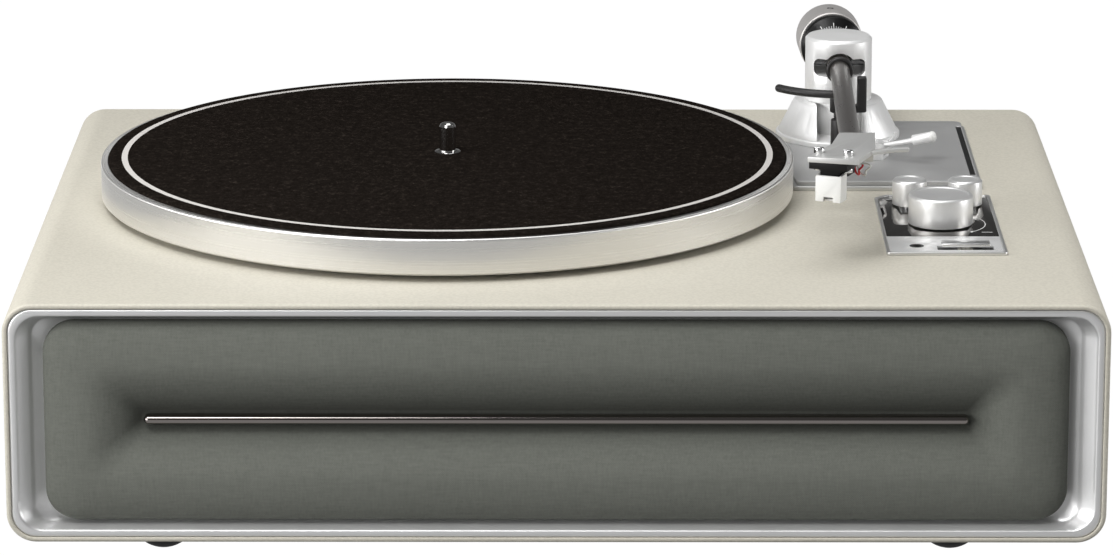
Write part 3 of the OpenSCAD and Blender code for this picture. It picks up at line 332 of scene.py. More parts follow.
# %% Make one finish for each slot
SATIN = (0.84, 0.84, 0.835)
finishes = {
    "leather": pebbled_leather("cream_leather", (0.625, 0.595, 0.51)),
    # The cloth's colour carries painted shade, darker with depth from the crest toward the bar.
    "grille_cloth": woven_cloth("front_cloth", (0.166, 0.173, 0.152), 0.9 * MM, cab_low.y + 0.6 * MM,
                                cab_low.y + 9.6 * MM),
    "mat_felt": ringed_felt("mat_felt", platter_mid, mat_radius - 8.0 * MM, mat_radius - 5.4 * MM,
                            (0.0105, 0.0084, 0.0070), (0.60, 0.575, 0.55)),
    "board": fibre_board("fibre_board", (0.42, 0.30, 0.18)),
    "bezel": plain_finish("frame_satin", (0.86, 0.86, 0.86), 0.36, metal=0.72, vary=0.02, grain=5200,
                          height=0.0008),
    "grille_pan": plain_finish("pan_plastic", (0.03, 0.03, 0.03), 0.6, grain=1800, height=0.03),
    "bright_bar": plain_finish("bar_chrome", (0.34, 0.31, 0.295), 0.08, metal=1.0, height=0.001,
                               vary=0.02),
    "foot_rubber": plain_finish("foot_rubber", (0.012, 0.012, 0.012), 0.55, gloss=0.35, height=0.02),
    "zinc": plain_finish("zinc_plate", (0.55, 0.55, 0.57), 0.32, metal=1.0, vary=0.12),
    "rear_plastic": plain_finish("rear_plastic", (0.022, 0.022, 0.023), 0.55, gloss=0.4, grain=1500,
                                 height=0.05),
    "basket": plain_finish("basket_paint", (0.03, 0.03, 0.032), 0.45, height=0.02),
    "magnet": plain_finish("ferrite", (0.075, 0.075, 0.08), 0.7, vary=0.2, grain=1200, height=0.05),
    "cone_paper": plain_finish("cone_paper", (0.035, 0.034, 0.032), 0.9, vary=0.25, grain=700, height=0.12),
    "circuit": plain_finish("solder_mask", (0.02, 0.13, 0.05), 0.35, vary=0.2, grain=500, height=0.01),
    "motor_can": plain_finish("motor_can", (0.55, 0.55, 0.56), 0.3, metal=1.0, brush=(1, 1, 0.05)),
    "brass": plain_finish("turned_brass", (0.72, 0.53, 0.24), 0.25, metal=1.0, brush=(0.05, 0.05, 1)),
    "belt_rubber": plain_finish("belt_rubber", (0.02, 0.02, 0.02), 0.7, height=0.02),
    "plate_alu": plain_finish("plate_brushed", (0.50, 0.50, 0.497), 0.48, metal=0.55, vary=0.05, grain=2400,
                              height=0.006, brush=(0.06, 1, 1)),
    "plate_edge": plain_finish("plate_satin", (0.70, 0.70, 0.69), 0.33, metal=0.8, grain=3600),
    "black_trim": plain_finish("black_inlay", (0.008, 0.008, 0.008), 0.3, gloss=0.2),
    "arm_silver": plain_finish("satin_casting", (0.90, 0.90, 0.895), 0.45, metal=0.45, vary=0.03,
                               grain=4200, height=0.004),
    "arm_steel": plain_finish("turned_steel", (0.42, 0.42, 0.43), 0.28, metal=1.0, brush=(1, 0.08, 1)),
    "arm_black": plain_finish("arm_black", (0.022, 0.021, 0.021), 0.42, gloss=0.4, height=0.012),
    "tube_grey": plain_finish("graphite_tube", (0.21, 0.195, 0.185), 0.30, metal=0.85, vary=0.08,
                              brush=(1, 0.08, 1)),
    "control_dark": plain_finish("dark_mirror_plate", (0.30, 0.29, 0.275), 0.07, metal=1.0, vary=0.03,
                                 height=0.0004),
    "control_light": plain_finish("light_plate", (0.90, 0.90, 0.895), 0.30, metal=0.4, vary=0.03, grain=3800,
                                  height=0.001),
    "platter_alu": turned_finish("platter_rim", (0.86, 0.85, 0.83), 0.33, platter_mid, pitch=0.25,
                                 height=0.0012, vary=0.03),
    "spindle_steel": plain_finish("spindle_steel", (0.66, 0.65, 0.64), 0.12, metal=1.0, height=0.001),
    "shell_alu": plain_finish("shell_anodised", (0.62, 0.62, 0.61), 0.42, metal=0.5, vary=0.03,
                              grain=4200, height=0.003),
    "cart_black": plain_finish("cartridge_black", (0.006, 0.006, 0.006), 0.4, gloss=0.2, height=0.01),
    "guard_white": plain_finish("guard_white", (0.82, 0.82, 0.80), 0.38, vary=0.03, height=0.004),
    "cantilever_alu": plain_finish("cantilever", (0.7, 0.7, 0.7), 0.25, metal=1.0),
    "screw_bright": plain_finish("screw_chrome", (0.78, 0.78, 0.78), 0.12, metal=1.0, height=0.001),
    "weight_silver": plain_finish("weight_satin", (0.62, 0.60, 0.585), 0.40, metal=0.6, vary=0.03,
                                  brush=(1, 0.06, 1)),
    "dial_black": plain_finish("dial_black", (0.004, 0.004, 0.004), 0.32, gloss=0.25, height=0.002),
    "knob_alu": plain_finish("knob_satin", (0.70, 0.70, 0.70), 0.30, metal=0.9, grain=3200, height=0.005),
    "contact_gold": plain_finish("gold_plate", (0.80, 0.60, 0.25), 0.2, metal=1.0, height=0.002),
}
slot_of = {p["node"]: p["material_slot"] for p in frame["record"]["subparts"]}
for node, slot in slot_of.items():
    for held in frame["nodes"][node].material_slots:
        held.material = finishes[slot]
print("finishes:", len(finishes), "parts painted:", len(slot_of))

# %% Grooves about each knob's own axis
KNOBS = ("volume_knob", "bass_knob", "treble_knob")
knob_finish = {k: turned_finish(k + "_turned", SATIN, 0.38, middle(k), pitch=0.22, metal=0.7, height=0.0005,
                                      vary=0.02) for k in KNOBS}

# %% [markdown]
# ## Making a piece
# A piece made here is a mesh at the origin with its place in its points. It is shaded smooth with
# its real edges kept crisp, takes a finish, and rides on the body that carries it. Many CAD parts
# have the right shape but razor-sharp edges, which catch no light. A copy of such a part, with its
# loose triangles merged and its edges rounded, stands in for it.

# %% Helpers that make a piece
def finish_piece(name, mesh, body, slot, material=None, sharp=35.0):
    """Shades, paints and hangs up a mesh that is already in place."""
    for face in mesh.polygons:
        face.use_smooth = True
    mesh.set_sharp_from_angle(angle=math.radians(sharp))
    piece = bpy.data.objects.new(name, mesh)
    bpy.context.scene.collection.objects.link(piece)
    mesh.materials.clear()
    mesh.materials.append(material or finishes[slot])
    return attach(piece, body)


def quarter_turn(steps):
    """Sine and cosine pairs round a quarter circle."""
    angles = [math.pi / 2 * k / steps for k in range(steps + 1)]
    return [(math.sin(a), math.cos(a)) for a in angles]


def mesh_of(name, points, faces):
    mesh = bpy.data.meshes.new(name)
    mesh.from_pydata([tuple(p) for p in points], [], faces)
    shape = bmesh.new()
    shape.from_mesh(mesh)
    bmesh.ops.remove_doubles(shape, verts=shape.verts, dist=1e-7)
    bmesh.ops.recalc_face_normals(shape, faces=shape.faces)
    shape.to_mesh(mesh)
    shape.free()
    return mesh


body_of_node = {n: o.parent.name for n, o in frame["nodes"].items()}
body_name = {e.name: b for b, e in frame["bodies"].items()}


def rounded(node, radius, material=None, steps=2, from_angle=25.0):
    """A copy of a CAD part with its edges rounded to a radius in mm; it replaces the part."""
    shape = bmesh.new()
    shape.from_mesh(frame["nodes"][node].data)
    bmesh.ops.remove_doubles(shape, verts=shape.verts, dist=2e-6)
    bmesh.ops.dissolve_limit(shape, angle_limit=math.radians(0.8), verts=shape.verts, edges=shape.edges)
    edges = [e for e in shape.edges
             if len(e.link_faces) == 2 and e.calc_face_angle(0.0) > math.radians(from_angle)]
    bmesh.ops.bevel(shape, geom=edges, offset=radius * MM, segments=steps, profile=0.5,
                    affect="EDGES", clamp_overlap=True)
    mesh = bpy.data.meshes.new(node + "_rounded")
    shape.to_mesh(mesh)
    shape.free()
    piece = finish_piece(node + "_rounded", mesh, body_name[body_of_node[node]], slot_of[node], material)
    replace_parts(piece, node)
    return piece


# %% Round the edges of the parts that show
EDGE_RADIUS = {
    "arm_plate_lower": 0.45, "arm_plate_upper": 0.3, "arm_flange": 0.3, "arm_cone": 0.5,
    "pivot_housing": 0.6, "armrest": 0.8, "lever_bracket": 0.25, "cue_lever": 0.2,
    "antiskate_lever": 0.15, "control_frame": 0.3, "control_strip": 0.12, "control_panel": 0.1,
    "speed_rocker": 0.35, "headshell": 0.45, "finger_lift": 0.5, "cartridge": 0.35,
    "stylus_guard": 0.2, "cartridge_screws": 0.3, "counterweight": 0.35, "force_dial": 0.3,
    "power_rocker": 0.7,
}
for node, radius in EDGE_RADIUS.items():
    made = rounded(node, radius)
    print(node, "faces", len(made.data.polygons))
for node in KNOBS:
    rounded(node, 0.45, knob_finish[node])

# %% [markdown]
# ## Platter, mat and spindle ring
# These are lathe work, so they are made as on a lathe: a profile is turned about the axis in many
# steps. Each gets a UV map that runs round it. The rim is brushed round and round, which smears
# reflections upwards into tall bright bands, so its finish is anisotropic, and the direction of the
# brushing comes from that map.

# %% A lathe
def turned(name, profile, centre, body, slot, material=None, steps=288, axis=None, sharp=35.0):
    """Turns a closed profile of (radius, height) in mm about Z at centre, or about another axis."""
    count = len(profile)
    frame_of = axis.to_track_quat("Z", "Y").to_matrix() if axis else Matrix.Identity(3)
    points = []
    for k in range(steps):
        angle = 2 * math.pi * k / steps
        for r, h in profile:
            points.append(Vector(centre) + frame_of @ Vector(
                (r * MM * math.cos(angle), r * MM * math.sin(angle), h * MM)))
    faces, round_uv = [], []
    for k in range(steps):
        nxt = (k + 1) % steps
        for i in range(count):
            j = (i + 1) % count
            faces.append((k * count + i, nxt * count + i, nxt * count + j, k * count + j))
            round_uv += [(k / steps, i / count), ((k + 1) / steps, i / count),
                         ((k + 1) / steps, (i + 1) / count), (k / steps, (i + 1) / count)]
    mesh = bpy.data.meshes.new(name)
    mesh.from_pydata([tuple(p) for p in points], [], faces)
    layer = mesh.uv_layers.new(name="round")
    for corner, uv in zip(layer.data, round_uv):
        corner.uv = uv
    shape = bmesh.new()
    shape.from_mesh(mesh)
    bmesh.ops.recalc_face_normals(shape, faces=shape.faces)
    shape.to_mesh(mesh)
    shape.free()
    return finish_piece(name, mesh, body, slot, material, sharp)


# %% Brushing that runs round the rim
rim = finishes["platter_alu"].node_tree
rim_shader = rim.nodes["Principled BSDF"]
rim_shader.inputs["Anisotropic"].default_value = 0.85
brushing = add(rim, "ShaderNodeTangent", direction_type="UV_MAP", uv_map="round")
rim.links.new(brushing.outputs[0], rim_shader.inputs["Tangent"])

# %% Turn the platter and its mat
platter_low, platter_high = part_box("platter")
rim_top = (platter_high.z - platter_low.z) / MM
under = (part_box("platter")[0].z - platter_mid.z) / MM
hub_r, bore_r, web, lip_r = 14.0, 4.05, 5.0, 146.8
plat_r = (platter_high.x - platter_low.x) / 2 / MM
mat_thick = (mat_high.z - mat_low.z) / MM
mat_foot = (mat_low.z - platter_low.z) / MM
rim_foot = rim_top - 15.4
profile = [(bore_r, mat_foot - web - 5), (hub_r, mat_foot - web - 5), (hub_r, mat_foot - web),
           (57, mat_foot - web),
           (57, mat_foot - web - 9), (62, mat_foot - web - 9), (62, mat_foot - web), (140, mat_foot - web),
           (142, rim_foot), (plat_r - 0.8, rim_foot), (plat_r, rim_foot + 0.8), (plat_r, rim_top - 0.9)]
profile += [(plat_r - 0.9 + 0.9 * c, rim_top - 0.9 + 0.9 * s) for s, c in quarter_turn(4)]
profile += [(lip_r + 0.3, rim_top), (lip_r, rim_top - 0.3), (lip_r, mat_foot), (bore_r, mat_foot)]
platter_foot = Vector((platter_mid.x, platter_mid.y, platter_low.z))
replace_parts(turned("platter_turned", profile, platter_foot, "platter", "platter_alu", sharp=28), "platter")
mat_foot_at = Vector((platter_mid.x, platter_mid.y, mat_low.z))
mat_profile = [(4.3, 0), (lip_r - 0.02, 0), (lip_r - 0.02, mat_thick - 0.8), (lip_r - 0.3, mat_thick - 0.25),
               (lip_r - 0.9, mat_thick), (4.3, mat_thick)]
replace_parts(turned("mat_felt_disc", mat_profile, mat_foot_at, "platter", "mat_felt"), "platter_mat")
ring_profile = [(4.05, mat_thick - 0.02), (5.6, mat_thick - 0.02), (5.6, mat_thick + 0.25),
                (5.3, mat_thick + 0.45),
                (4.05, mat_thick + 0.45)]
turned("spindle_ring", ring_profile, mat_foot_at, "platter", "spindle_steel", steps=96)
print("platter radius in mm", round(plat_r, 3), "rim height", round(rim_top, 3))

# %% [markdown]
# ## The leather wrap
# The leather is one sheet that goes round the box and turns in over the front and back edges. Its
# section is the same all the way round, so it is lofted: a rounded rectangle is drawn for each
# point of the section, and neighbours are joined into faces. The fold at the front is round, which
# is what gives leather its soft bright edge.

# %% Loft a section round a rounded rectangle
CORNER_STEPS = 14


def outline(half_w, half_h, radius, y, mid_z):
    """Points of a rounded rectangle in the plane at y, corner by corner."""
    points = []
    for quarter, (sx, sz) in enumerate(((1, 1), (-1, 1), (-1, -1), (1, -1))):
        for k in range(CORNER_STEPS + 1):
            angle = math.radians(90 * (quarter + k / CORNER_STEPS))
            points.append((sx * (half_w - radius) + radius * math.cos(angle), y,
                           mid_z + sz * (half_h - radius) + radius * math.sin(angle)))
    return points


def loft(loops, closed):
    """Joins loops of equal length; closed joins the last to the first, else both ends get a lid."""
    count = len(loops[0])
    points = [p for loop in loops for p in loop]
    faces = []
    for i in range(len(loops) - (0 if closed else 1)):
        a, b = i * count, ((i + 1) % len(loops)) * count
        faces += [(a + k, a + (k + 1) % count, b + (k + 1) % count, b + k) for k in range(count)]
    if not closed:
        faces += [tuple(range(count)), tuple(range(len(points) - count, len(points)))]
    return points, faces


cab_mid_z = (cab_low.z + cab_high.z) / 2
cab_half_w = (cab_high.x - cab_low.x) / 2
cab_half_h = (cab_high.z - cab_low.z) / 2
front, back = cab_low.y, cab_high.y
CAB_CORNER = 12 * MM


def ring_in(inset_x, inset_z, radius, depth):
    """An outline set in from the cabinet's, depth behind the front, all in mm."""
    return outline(cab_half_w - inset_x * MM, cab_half_h - inset_z * MM, radius * MM,
                   front + depth * MM, cab_mid_z)


# %% The leather, with its folds
depth_all = (back - front) / MM
FOLD = 1.15
RETURN = 2.1
TURN_IN_BACK = 13.2
section = [(RETURN, 1.2), (RETURN, 0.45), (RETURN - 0.12, 0.15), (RETURN - 0.4, 0.0)]
section += [(FOLD * (1 - s), FOLD * (1 - c)) for s, c in quarter_turn(7)]
section += [(0.0, depth_all / 3), (0.0, depth_all * 2 / 3)]
section += [(FOLD * (1 - c), depth_all - FOLD * (1 - s)) for s, c in quarter_turn(7)]
section += [(TURN_IN_BACK, depth_all), (TURN_IN_BACK, depth_all - 1.2), (1.2, depth_all - 1.2), (1.2, 1.2)]
loops = [ring_in(i, i, max(CAB_CORNER / MM - i, 0.4), d) for i, d in section]
leather_mesh = mesh_of("leather_skin", *loft(loops, closed=True))
leather = finish_piece("leather_skin", leather_mesh, "cabinet", "leather", sharp=60)
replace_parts(leather, "leather_wrap")
print("leather faces", len(leather_mesh.polygons))

# %% [markdown]
# ## The front frame
# A satin silver moulding sits inside the leather: a bright flat lip, sides that slope inwards, a
# soft crease, and a narrow floor round the padded cloth. It is lofted like the leather, but the
# slope is wider at the sides than at the top, so the section has its own inset for each.

# %% The frame
LIP = 2.4
HOLE = 5.2
SLOPE_X, SLOPE_Z = 5.8, 1.6
FLOOR = 9.0
CLOTH_X, CLOTH_Z = HOLE + SLOPE_X + 4.8, HOLE + SLOPE_Z + 1.6
frame_section = [(1.25, 1.25, 10.75, 13.0), (1.25, 1.25, 10.75, 1.3), (LIP, LIP, 9.6, 1.3),
                 (LIP, LIP, 9.6, 0.75), (LIP + 0.15, LIP + 0.15, 9.5, 0.4), (LIP + 0.5, LIP + 0.5, 9.4, 0.2),
                 (HOLE - 0.75, HOLE - 0.75, 9.8, 0.2), (HOLE - 0.3, HOLE - 0.3, 9.9, 0.35),
                 (HOLE - 0.05, HOLE - 0.05, 10.0, 0.9)]
CREASE = 6.6
for k in range(1, 8):
    t = k / 8
    frame_section.append((HOLE + SLOPE_X * t, HOLE + SLOPE_Z * t, 10 - 2 * t, 0.9 + (CREASE - 1.2) * t))
for t in (0.0, 0.12, 0.3, 0.55, 0.8, 1.0):
    ease = 0.35 * t + 0.65 * t * t
    frame_section.append((HOLE + SLOPE_X + (CLOTH_X - HOLE - SLOPE_X) * t,
                          HOLE + SLOPE_Z + (CLOTH_Z - HOLE - SLOPE_Z) * t,
                          8 + 5 * t, CREASE - 0.05 + (FLOOR - CREASE) * (2 * t - ease)))
frame_section += [(CLOTH_X + 3, CLOTH_Z + 3, 10, FLOOR), (CLOTH_X + 3, CLOTH_Z + 3, 10, 13.0)]
frame_mesh = mesh_of("front_frame", *loft([ring_in(*s) for s in frame_section], closed=True))
front_frame = finish_piece("front_frame", frame_mesh, "cabinet", "bezel", sharp=50)
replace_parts(front_frame, "front_bezel")

# %% [markdown]
# ## The padded front cloth
# Cloth is drawn tight over foam. It rises from the floor with a round shoulder, reaches a crest,
# and then falls in a soft hip-roof dish to the bar. Being stretched over a firm former, it cannot
# billow, so it is shaped by rule and not by a cloth simulation: loops shrink from the rim to the
# bar while their depth follows a smooth curve. A second skin behind it makes it a closed pad.

# %% The cloth
CREST, DISH = 0.6, 9.6
BAR_HALF_W, BAR_HALF_H = 168.0, 2.9
SHOULDER = 17.0
full_w, full_h = cab_half_w / MM - CLOTH_X, cab_half_h / MM - CLOTH_Z
rest_w, rest_h = full_w - SHOULDER, full_h - SHOULDER


def cloth_loop(half_w, half_h, radius, depth):
    return outline(half_w * MM, half_h * MM, radius * MM, front + depth * MM, cab_mid_z)


def skin_loops(set_in, sink, steps_dish=30):
    """Loops from the rim to the bar for a skin set_in from the outline and sink deeper, in mm."""
    loops = [cloth_loop(full_w - set_in, full_h - set_in, 13 - set_in, FLOOR)]
    round_off = SHOULDER - set_in
    for s, c in quarter_turn(10):
        across = set_in + round_off * (1 - c)
        depth = CREST + sink + 4.8 * (1 - s)
        loops.append(cloth_loop(full_w - across, full_h - across, 13 - across * 0.2, depth))
    for k in range(1, steps_dish + 1):
        t = k / steps_dish
        fall = t ** 1.9
        loops.append(cloth_loop(rest_w + (BAR_HALF_W - rest_w) * t, rest_h + (BAR_HALF_H - rest_h) * t,
                                (13 - SHOULDER * 0.2) * (1 - t) + 2.6 * t,
                                CREST + sink + (DISH - CREST) * fall))
    return loops


outer, inner = skin_loops(0.0, 0.0), skin_loops(2.0, 2.0)
cloth_mesh = mesh_of("front_cloth", *loft(outer[::-1] + inner, closed=False))
cloth = finish_piece("front_cloth", cloth_mesh, "cabinet", "grille_cloth", sharp=70)
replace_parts(cloth, "grille_cloth")
print("cloth faces", len(cloth_mesh.polygons))

# %% [markdown]
# ## Printed marks, lead wires and rings
# Printed marks are thin shapes lying on the surface they are printed on. The ticks of the tracking
# dial repeat round a circle, so Geometry Nodes make them: a circle of points, one thin bar on each
# point, turned to face outwards. The lead wires follow a path, so a curve carries a round section.

# %% Ticks by Geometry Nodes
def to_plain_mesh(obj, name):
    """What the modifiers make of obj, as a new plain mesh; obj is then removed."""
    seen = obj.evaluated_get(bpy.context.evaluated_depsgraph_get())
    mesh = bpy.data.meshes.new_from_object(seen)
    mesh.name = name
    bpy.data.objects.remove(obj)
    return mesh


def node_group(name, inputs):
    """A geometry tree with a geometry output and named number inputs."""
    group = bpy.data.node_groups.new(name, "GeometryNodeTree")
    group.interface.new_socket("Geometry", in_out="INPUT", socket_type="NodeSocketGeometry")
    group.interface.new_socket("Geometry", in_out="OUTPUT", socket_type="NodeSocketGeometry")
    for label, kind in inputs:
        group.interface.new_socket(label, in_out="INPUT", socket_type=kind)
    return group, group.nodes.new("NodeGroupInput"), group.nodes.new("NodeGroupOutput")


def run_tree(group, name, values):
    """Runs a tree on an empty mesh with these input values and returns the mesh it makes."""
    holder = bpy.data.objects.new(name, bpy.data.meshes.new(name))
    bpy.context.scene.collection.objects.link(holder)
    modifier = holder.modifiers.new(name, "NODES")
    modifier.node_group = group
    for item in group.interface.items_tree:
        if item.in_out == "INPUT" and item.name in values:
            modifier[item.identifier] = values[item.name]
    return to_plain_mesh(holder, name)


def tick_tree():
    """A ring of bars round Z, each facing outwards."""
    number = "NodeSocketFloat"
    group, enter, leave = node_group("ring_of_ticks", [
        ("Count", "NodeSocketInt"), ("Radius", number), ("Length", number), ("Width", number),
        ("Thickness", number), ("Finish", "NodeSocketMaterial")])
    circle = group.nodes.new("GeometryNodeCurvePrimitiveCircle")
    points = group.nodes.new("GeometryNodeCurveToPoints")
    here = group.nodes.new("GeometryNodeInputPosition")
    face_out = group.nodes.new("FunctionNodeAlignRotationToVector")
    face_out.axis, face_out.pivot_axis = "X", "Z"
    bar = group.nodes.new("GeometryNodeMeshCube")
    size = group.nodes.new("ShaderNodeCombineXYZ")
    put = group.nodes.new("GeometryNodeInstanceOnPoints")
    solid = group.nodes.new("GeometryNodeRealizeInstances")
    paint = group.nodes.new("GeometryNodeSetMaterial")
    link = group.links.new
    link(enter.outputs["Radius"], circle.inputs["Radius"])
    link(enter.outputs["Count"], circle.inputs["Resolution"])
    link(circle.outputs["Curve"], points.inputs["Curve"])
    link(enter.outputs["Count"], points.inputs["Count"])
    link(here.outputs[0], face_out.inputs["Vector"])
    link(enter.outputs["Thickness"], size.inputs["X"])
    link(enter.outputs["Width"], size.inputs["Y"])
    link(enter.outputs["Length"], size.inputs["Z"])
    link(size.outputs[0], bar.inputs["Size"])
    link(points.outputs["Points"], put.inputs["Points"])
    link(face_out.outputs["Rotation"], put.inputs["Rotation"])
    link(bar.outputs["Mesh"], put.inputs["Instance"])
    link(put.outputs["Instances"], solid.inputs["Geometry"])
    link(solid.outputs["Geometry"], paint.inputs["Geometry"])
    link(enter.outputs["Finish"], paint.inputs["Material"])
    link(paint.outputs["Geometry"], leave.inputs["Geometry"])
    return group


# %% Ticks on the dial's cone
ink_white = plain_finish("ink_white", (0.80, 0.80, 0.79), 0.5, vary=0.03, height=0.001)
pivot = middle("pitch_axle")
tail_to = middle("counterweight") - pivot
tail_to.z = 0
tail_to.normalize()
across = Vector((tail_to.y, -tail_to.x, 0))
DIAL_BACK, CONE_R0, CONE_SLOPE = 25.4 * MM, 9.0 * MM, 1.022


def on_dial(mesh, middle_s):
    """Wraps a ring of ticks about Z onto the cone in front of the dial."""
    for v in mesh.vertices:
        s = middle_s + v.co.z
        spread = 1 + CONE_SLOPE * v.co.z / math.hypot(v.co.x, v.co.y)
        v.co = pivot + tail_to * (DIAL_BACK + s) + across * v.co.x * spread + Vector((0, 0, v.co.y * spread))
    return mesh


ring_tree = tick_tree()
for name, count, s, length, width in (("dial_ticks_long", 12, 1.75, 2.2, 0.30),
                                      ("dial_ticks_short", 60, 1.1, 1.0, 0.2)):
    ticks = run_tree(ring_tree, name, {
        "Count": count, "Radius": CONE_R0 + CONE_SLOPE * s * MM, "Length": length * MM, "Width": width * MM,
        "Thickness": 0.12 * MM, "Finish": ink_white})
    made = finish_piece(name, on_dial(ticks, s * MM), "force_dial", "dial_black", ink_white)
    print(name, "faces", len(made.data.polygons))

# %% Lead wires, swept along their paths by Geometry Nodes
def wire_tree():
    """Gives a path a round section: Radius, Finish."""
    group, enter, leave = node_group("wire", [("Radius", "NodeSocketFloat"),
                                              ("Finish", "NodeSocketMaterial")])
    section = group.nodes.new("GeometryNodeCurvePrimitiveCircle")
    section.inputs["Resolution"].default_value = 10
    sweep = group.nodes.new("GeometryNodeCurveToMesh")
    sweep.inputs["Fill Caps"].default_value = True
    solid = group.nodes.new("GeometryNodeRealizeInstances")
    paint = group.nodes.new("GeometryNodeSetMaterial")
    link = group.links.new
    link(enter.outputs["Geometry"], sweep.inputs["Curve"])
    link(enter.outputs["Radius"], section.inputs["Radius"])
    link(section.outputs["Curve"], sweep.inputs["Profile Curve"])
    link(sweep.outputs["Mesh"], solid.inputs["Geometry"])
    link(solid.outputs["Geometry"], paint.inputs["Geometry"])
    link(enter.outputs["Finish"], paint.inputs["Material"])
    link(paint.outputs["Geometry"], leave.inputs["Geometry"])
    return group


def wire(tree, name, path, radius, material):
    line = bpy.data.curves.new(name, "CURVE")
    line.dimensions = "3D"
    spline = line.splines.new("NURBS")
    spline.points.add(len(path) - 1)
    for point, place in zip(spline.points, path):
        point.co = (*place, 1)
    spline.use_endpoint_u, spline.order_u, spline.resolution_u = True, 4, 8
    holder = bpy.data.objects.new(name, line)
    bpy.context.scene.collection.objects.link(holder)
    modifier = holder.modifiers.new(name, "NODES")
    modifier.node_group = tree
    for item in tree.interface.items_tree:
        if item.name == "Radius":
            modifier[item.identifier] = radius
        if item.name == "Finish" and item.in_out == "INPUT":
            modifier[item.identifier] = material
    return to_plain_mesh(holder, name)


SHELL_TURN = math.radians(-22.6)
shell_at = Vector((pivot.x - 13.1 * MM, pivot.y - 219.9 * MM, 0))


def in_shell(x, y, z):
    """A place in the headshell's own frame, in mm: x across, y back, z up from the cabinet's foot."""
    turn = Matrix.Rotation(SHELL_TURN, 3, "Z")
    return shell_at + turn @ Vector((x * MM, y * MM, 0)) + Vector((0, 0, z * MM))


sweep_tree = wire_tree()
WIRES = (("red", (0.62, 0.012, 0.018), 3.0, 1.0), ("white", (0.80, 0.80, 0.78), 5.2, 1.25),
         ("blue", (0.02, 0.07, 0.42), -5.4, -0.9), ("green", (0.02, 0.26, 0.06), -3.2, -0.8))
for name, colour, pin, out in WIRES:
    paint = plain_finish("wire_" + name, colour, 0.4, vary=0.04, height=0.002)
    path = [in_shell(pin, 13.4, 150.2), in_shell(pin + 0.4 * out, 15.4, 150.4),
            in_shell(pin + 4.2 * out, 15.6, 151.2),
            in_shell(pin + 5.0 * out, 15.4, 149.2), in_shell(pin + 2.4 * out, 15.4, 147.8),
            in_shell(pin + 3.6 * out, 15.6, 145.6), in_shell(pin + 1.0 * out, 17.5, 145.0),
            in_shell(pin * 0.6, 21.0, 147.6), in_shell(pin * 0.5, 24.0, 148.6)]
    made = finish_piece("lead_" + name, wire(sweep_tree, "lead_" + name, path, 0.42 * MM, paint), "arm",
                        "cart_black", paint)
    print("lead", name, "faces", len(made.data.polygons))

# %% Marks printed on the control plate
def band(name, centre, radius, width, start, end, foot, thick, body, steps=40):
    """A flat arc lying on a surface; angles in degrees, the rest in metres."""
    points = []
    for k in range(steps + 1):
        angle = math.radians(start + (end - start) * k / steps)
        for r in (radius - width / 2, radius + width / 2):
            for z in (foot, foot + thick):
                points.append((centre.x + r * math.cos(angle), centre.y + r * math.sin(angle), z))
    faces = [(0, 1, 3, 2), tuple(4 * steps + i for i in (0, 2, 3, 1))]
    for k in range(steps):
        a, b = 4 * k, 4 * k + 4
        for i, j in ((0, 1), (1, 3), (3, 2), (2, 0)):
            faces.append((a + i, a + j, b + j, b + i))
    return finish_piece(name, mesh_of(name, points, faces), body, "control_dark", ink_white)


def bar_between(name, low, high, body, slot, material=None, round_by=0.0):
    """A block from corner to corner, its edges rounded by round_by when that is given."""
    shape = bmesh.new()
    bmesh.ops.create_cube(shape, size=1.0)
    low, high = Vector(low), Vector(high)
    for v in shape.verts:
        v.co = Vector([(low[i] + high[i]) / 2 + v.co[i] * (high[i] - low[i]) for i in range(3)])
    if round_by:
        bmesh.ops.bevel(shape, geom=shape.edges[:], offset=round_by, segments=2, profile=0.5, affect="EDGES")
    mesh = bpy.data.meshes.new(name)
    shape.to_mesh(mesh)
    shape.free()
    return finish_piece(name, mesh, body, slot, material)


panel_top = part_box("control_panel")[1].z
strip_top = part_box("control_strip")[1].z
INK = 0.03 * MM
volume_at = middle("volume_knob")
band("volume_scale", volume_at, 19.0 * MM, 0.4 * MM, -46, 30, panel_top, INK, "cabinet")
dot_r, dot_turn = 19.0 * MM, math.radians(-50)
dot = volume_at + Vector((dot_r * math.cos(dot_turn), dot_r * math.sin(dot_turn), 0))
band("volume_full", dot, 0.35 * MM, 0.6 * MM, 0, 359.9, panel_top, INK, "cabinet", steps=20)
bar_between("volume_mark", (volume_at.x + 16.4 * MM, volume_at.y - 15.3 * MM, panel_top),
            (volume_at.x + 21.0 * MM, volume_at.y - 14.8 * MM, panel_top + INK), "cabinet",
            "control_dark", ink_white)

def printed(name, words, place, height, body):
    """Generic numbers, printed flat: height and place in metres, centred on place."""
    text = bpy.data.curves.new(name, "FONT")
    text.body, text.size, text.extrude = words, height, INK
    text.offset = height * 0.035
    text.align_x, text.align_y = "CENTER", "CENTER"
    holder = bpy.data.objects.new(name, text)
    bpy.context.scene.collection.objects.link(holder)
    mesh = to_plain_mesh(holder, name)
    mesh.transform(Matrix.Translation(place))
    return finish_piece(name, mesh, body, "control_light", ink_white)


rocker_at = middle("speed_rocker")
for words, side in (("33", -1), ("45", 1)):
    printed("speed_" + words, words,
            Vector((rocker_at.x + (0.7 + 2.5 * side) * MM, rocker_at.y + 14.6 * MM, strip_top)),
            3.4 * MM, "cabinet")
rocker_low, rocker_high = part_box("speed_rocker")
for side in (-1, 1):
    ends = sorted((rocker_at.x + side * 3.2 * MM, rocker_at.x + side * 11.7 * MM))
    bar_between("slot_floor_" + ("left" if side < 0 else "right"), (ends[0], rocker_low.y - 0.3 * MM, 0.1101),
                (ends[1], rocker_high.y + 0.3 * MM, 0.1104), "cabinet", "black_trim")

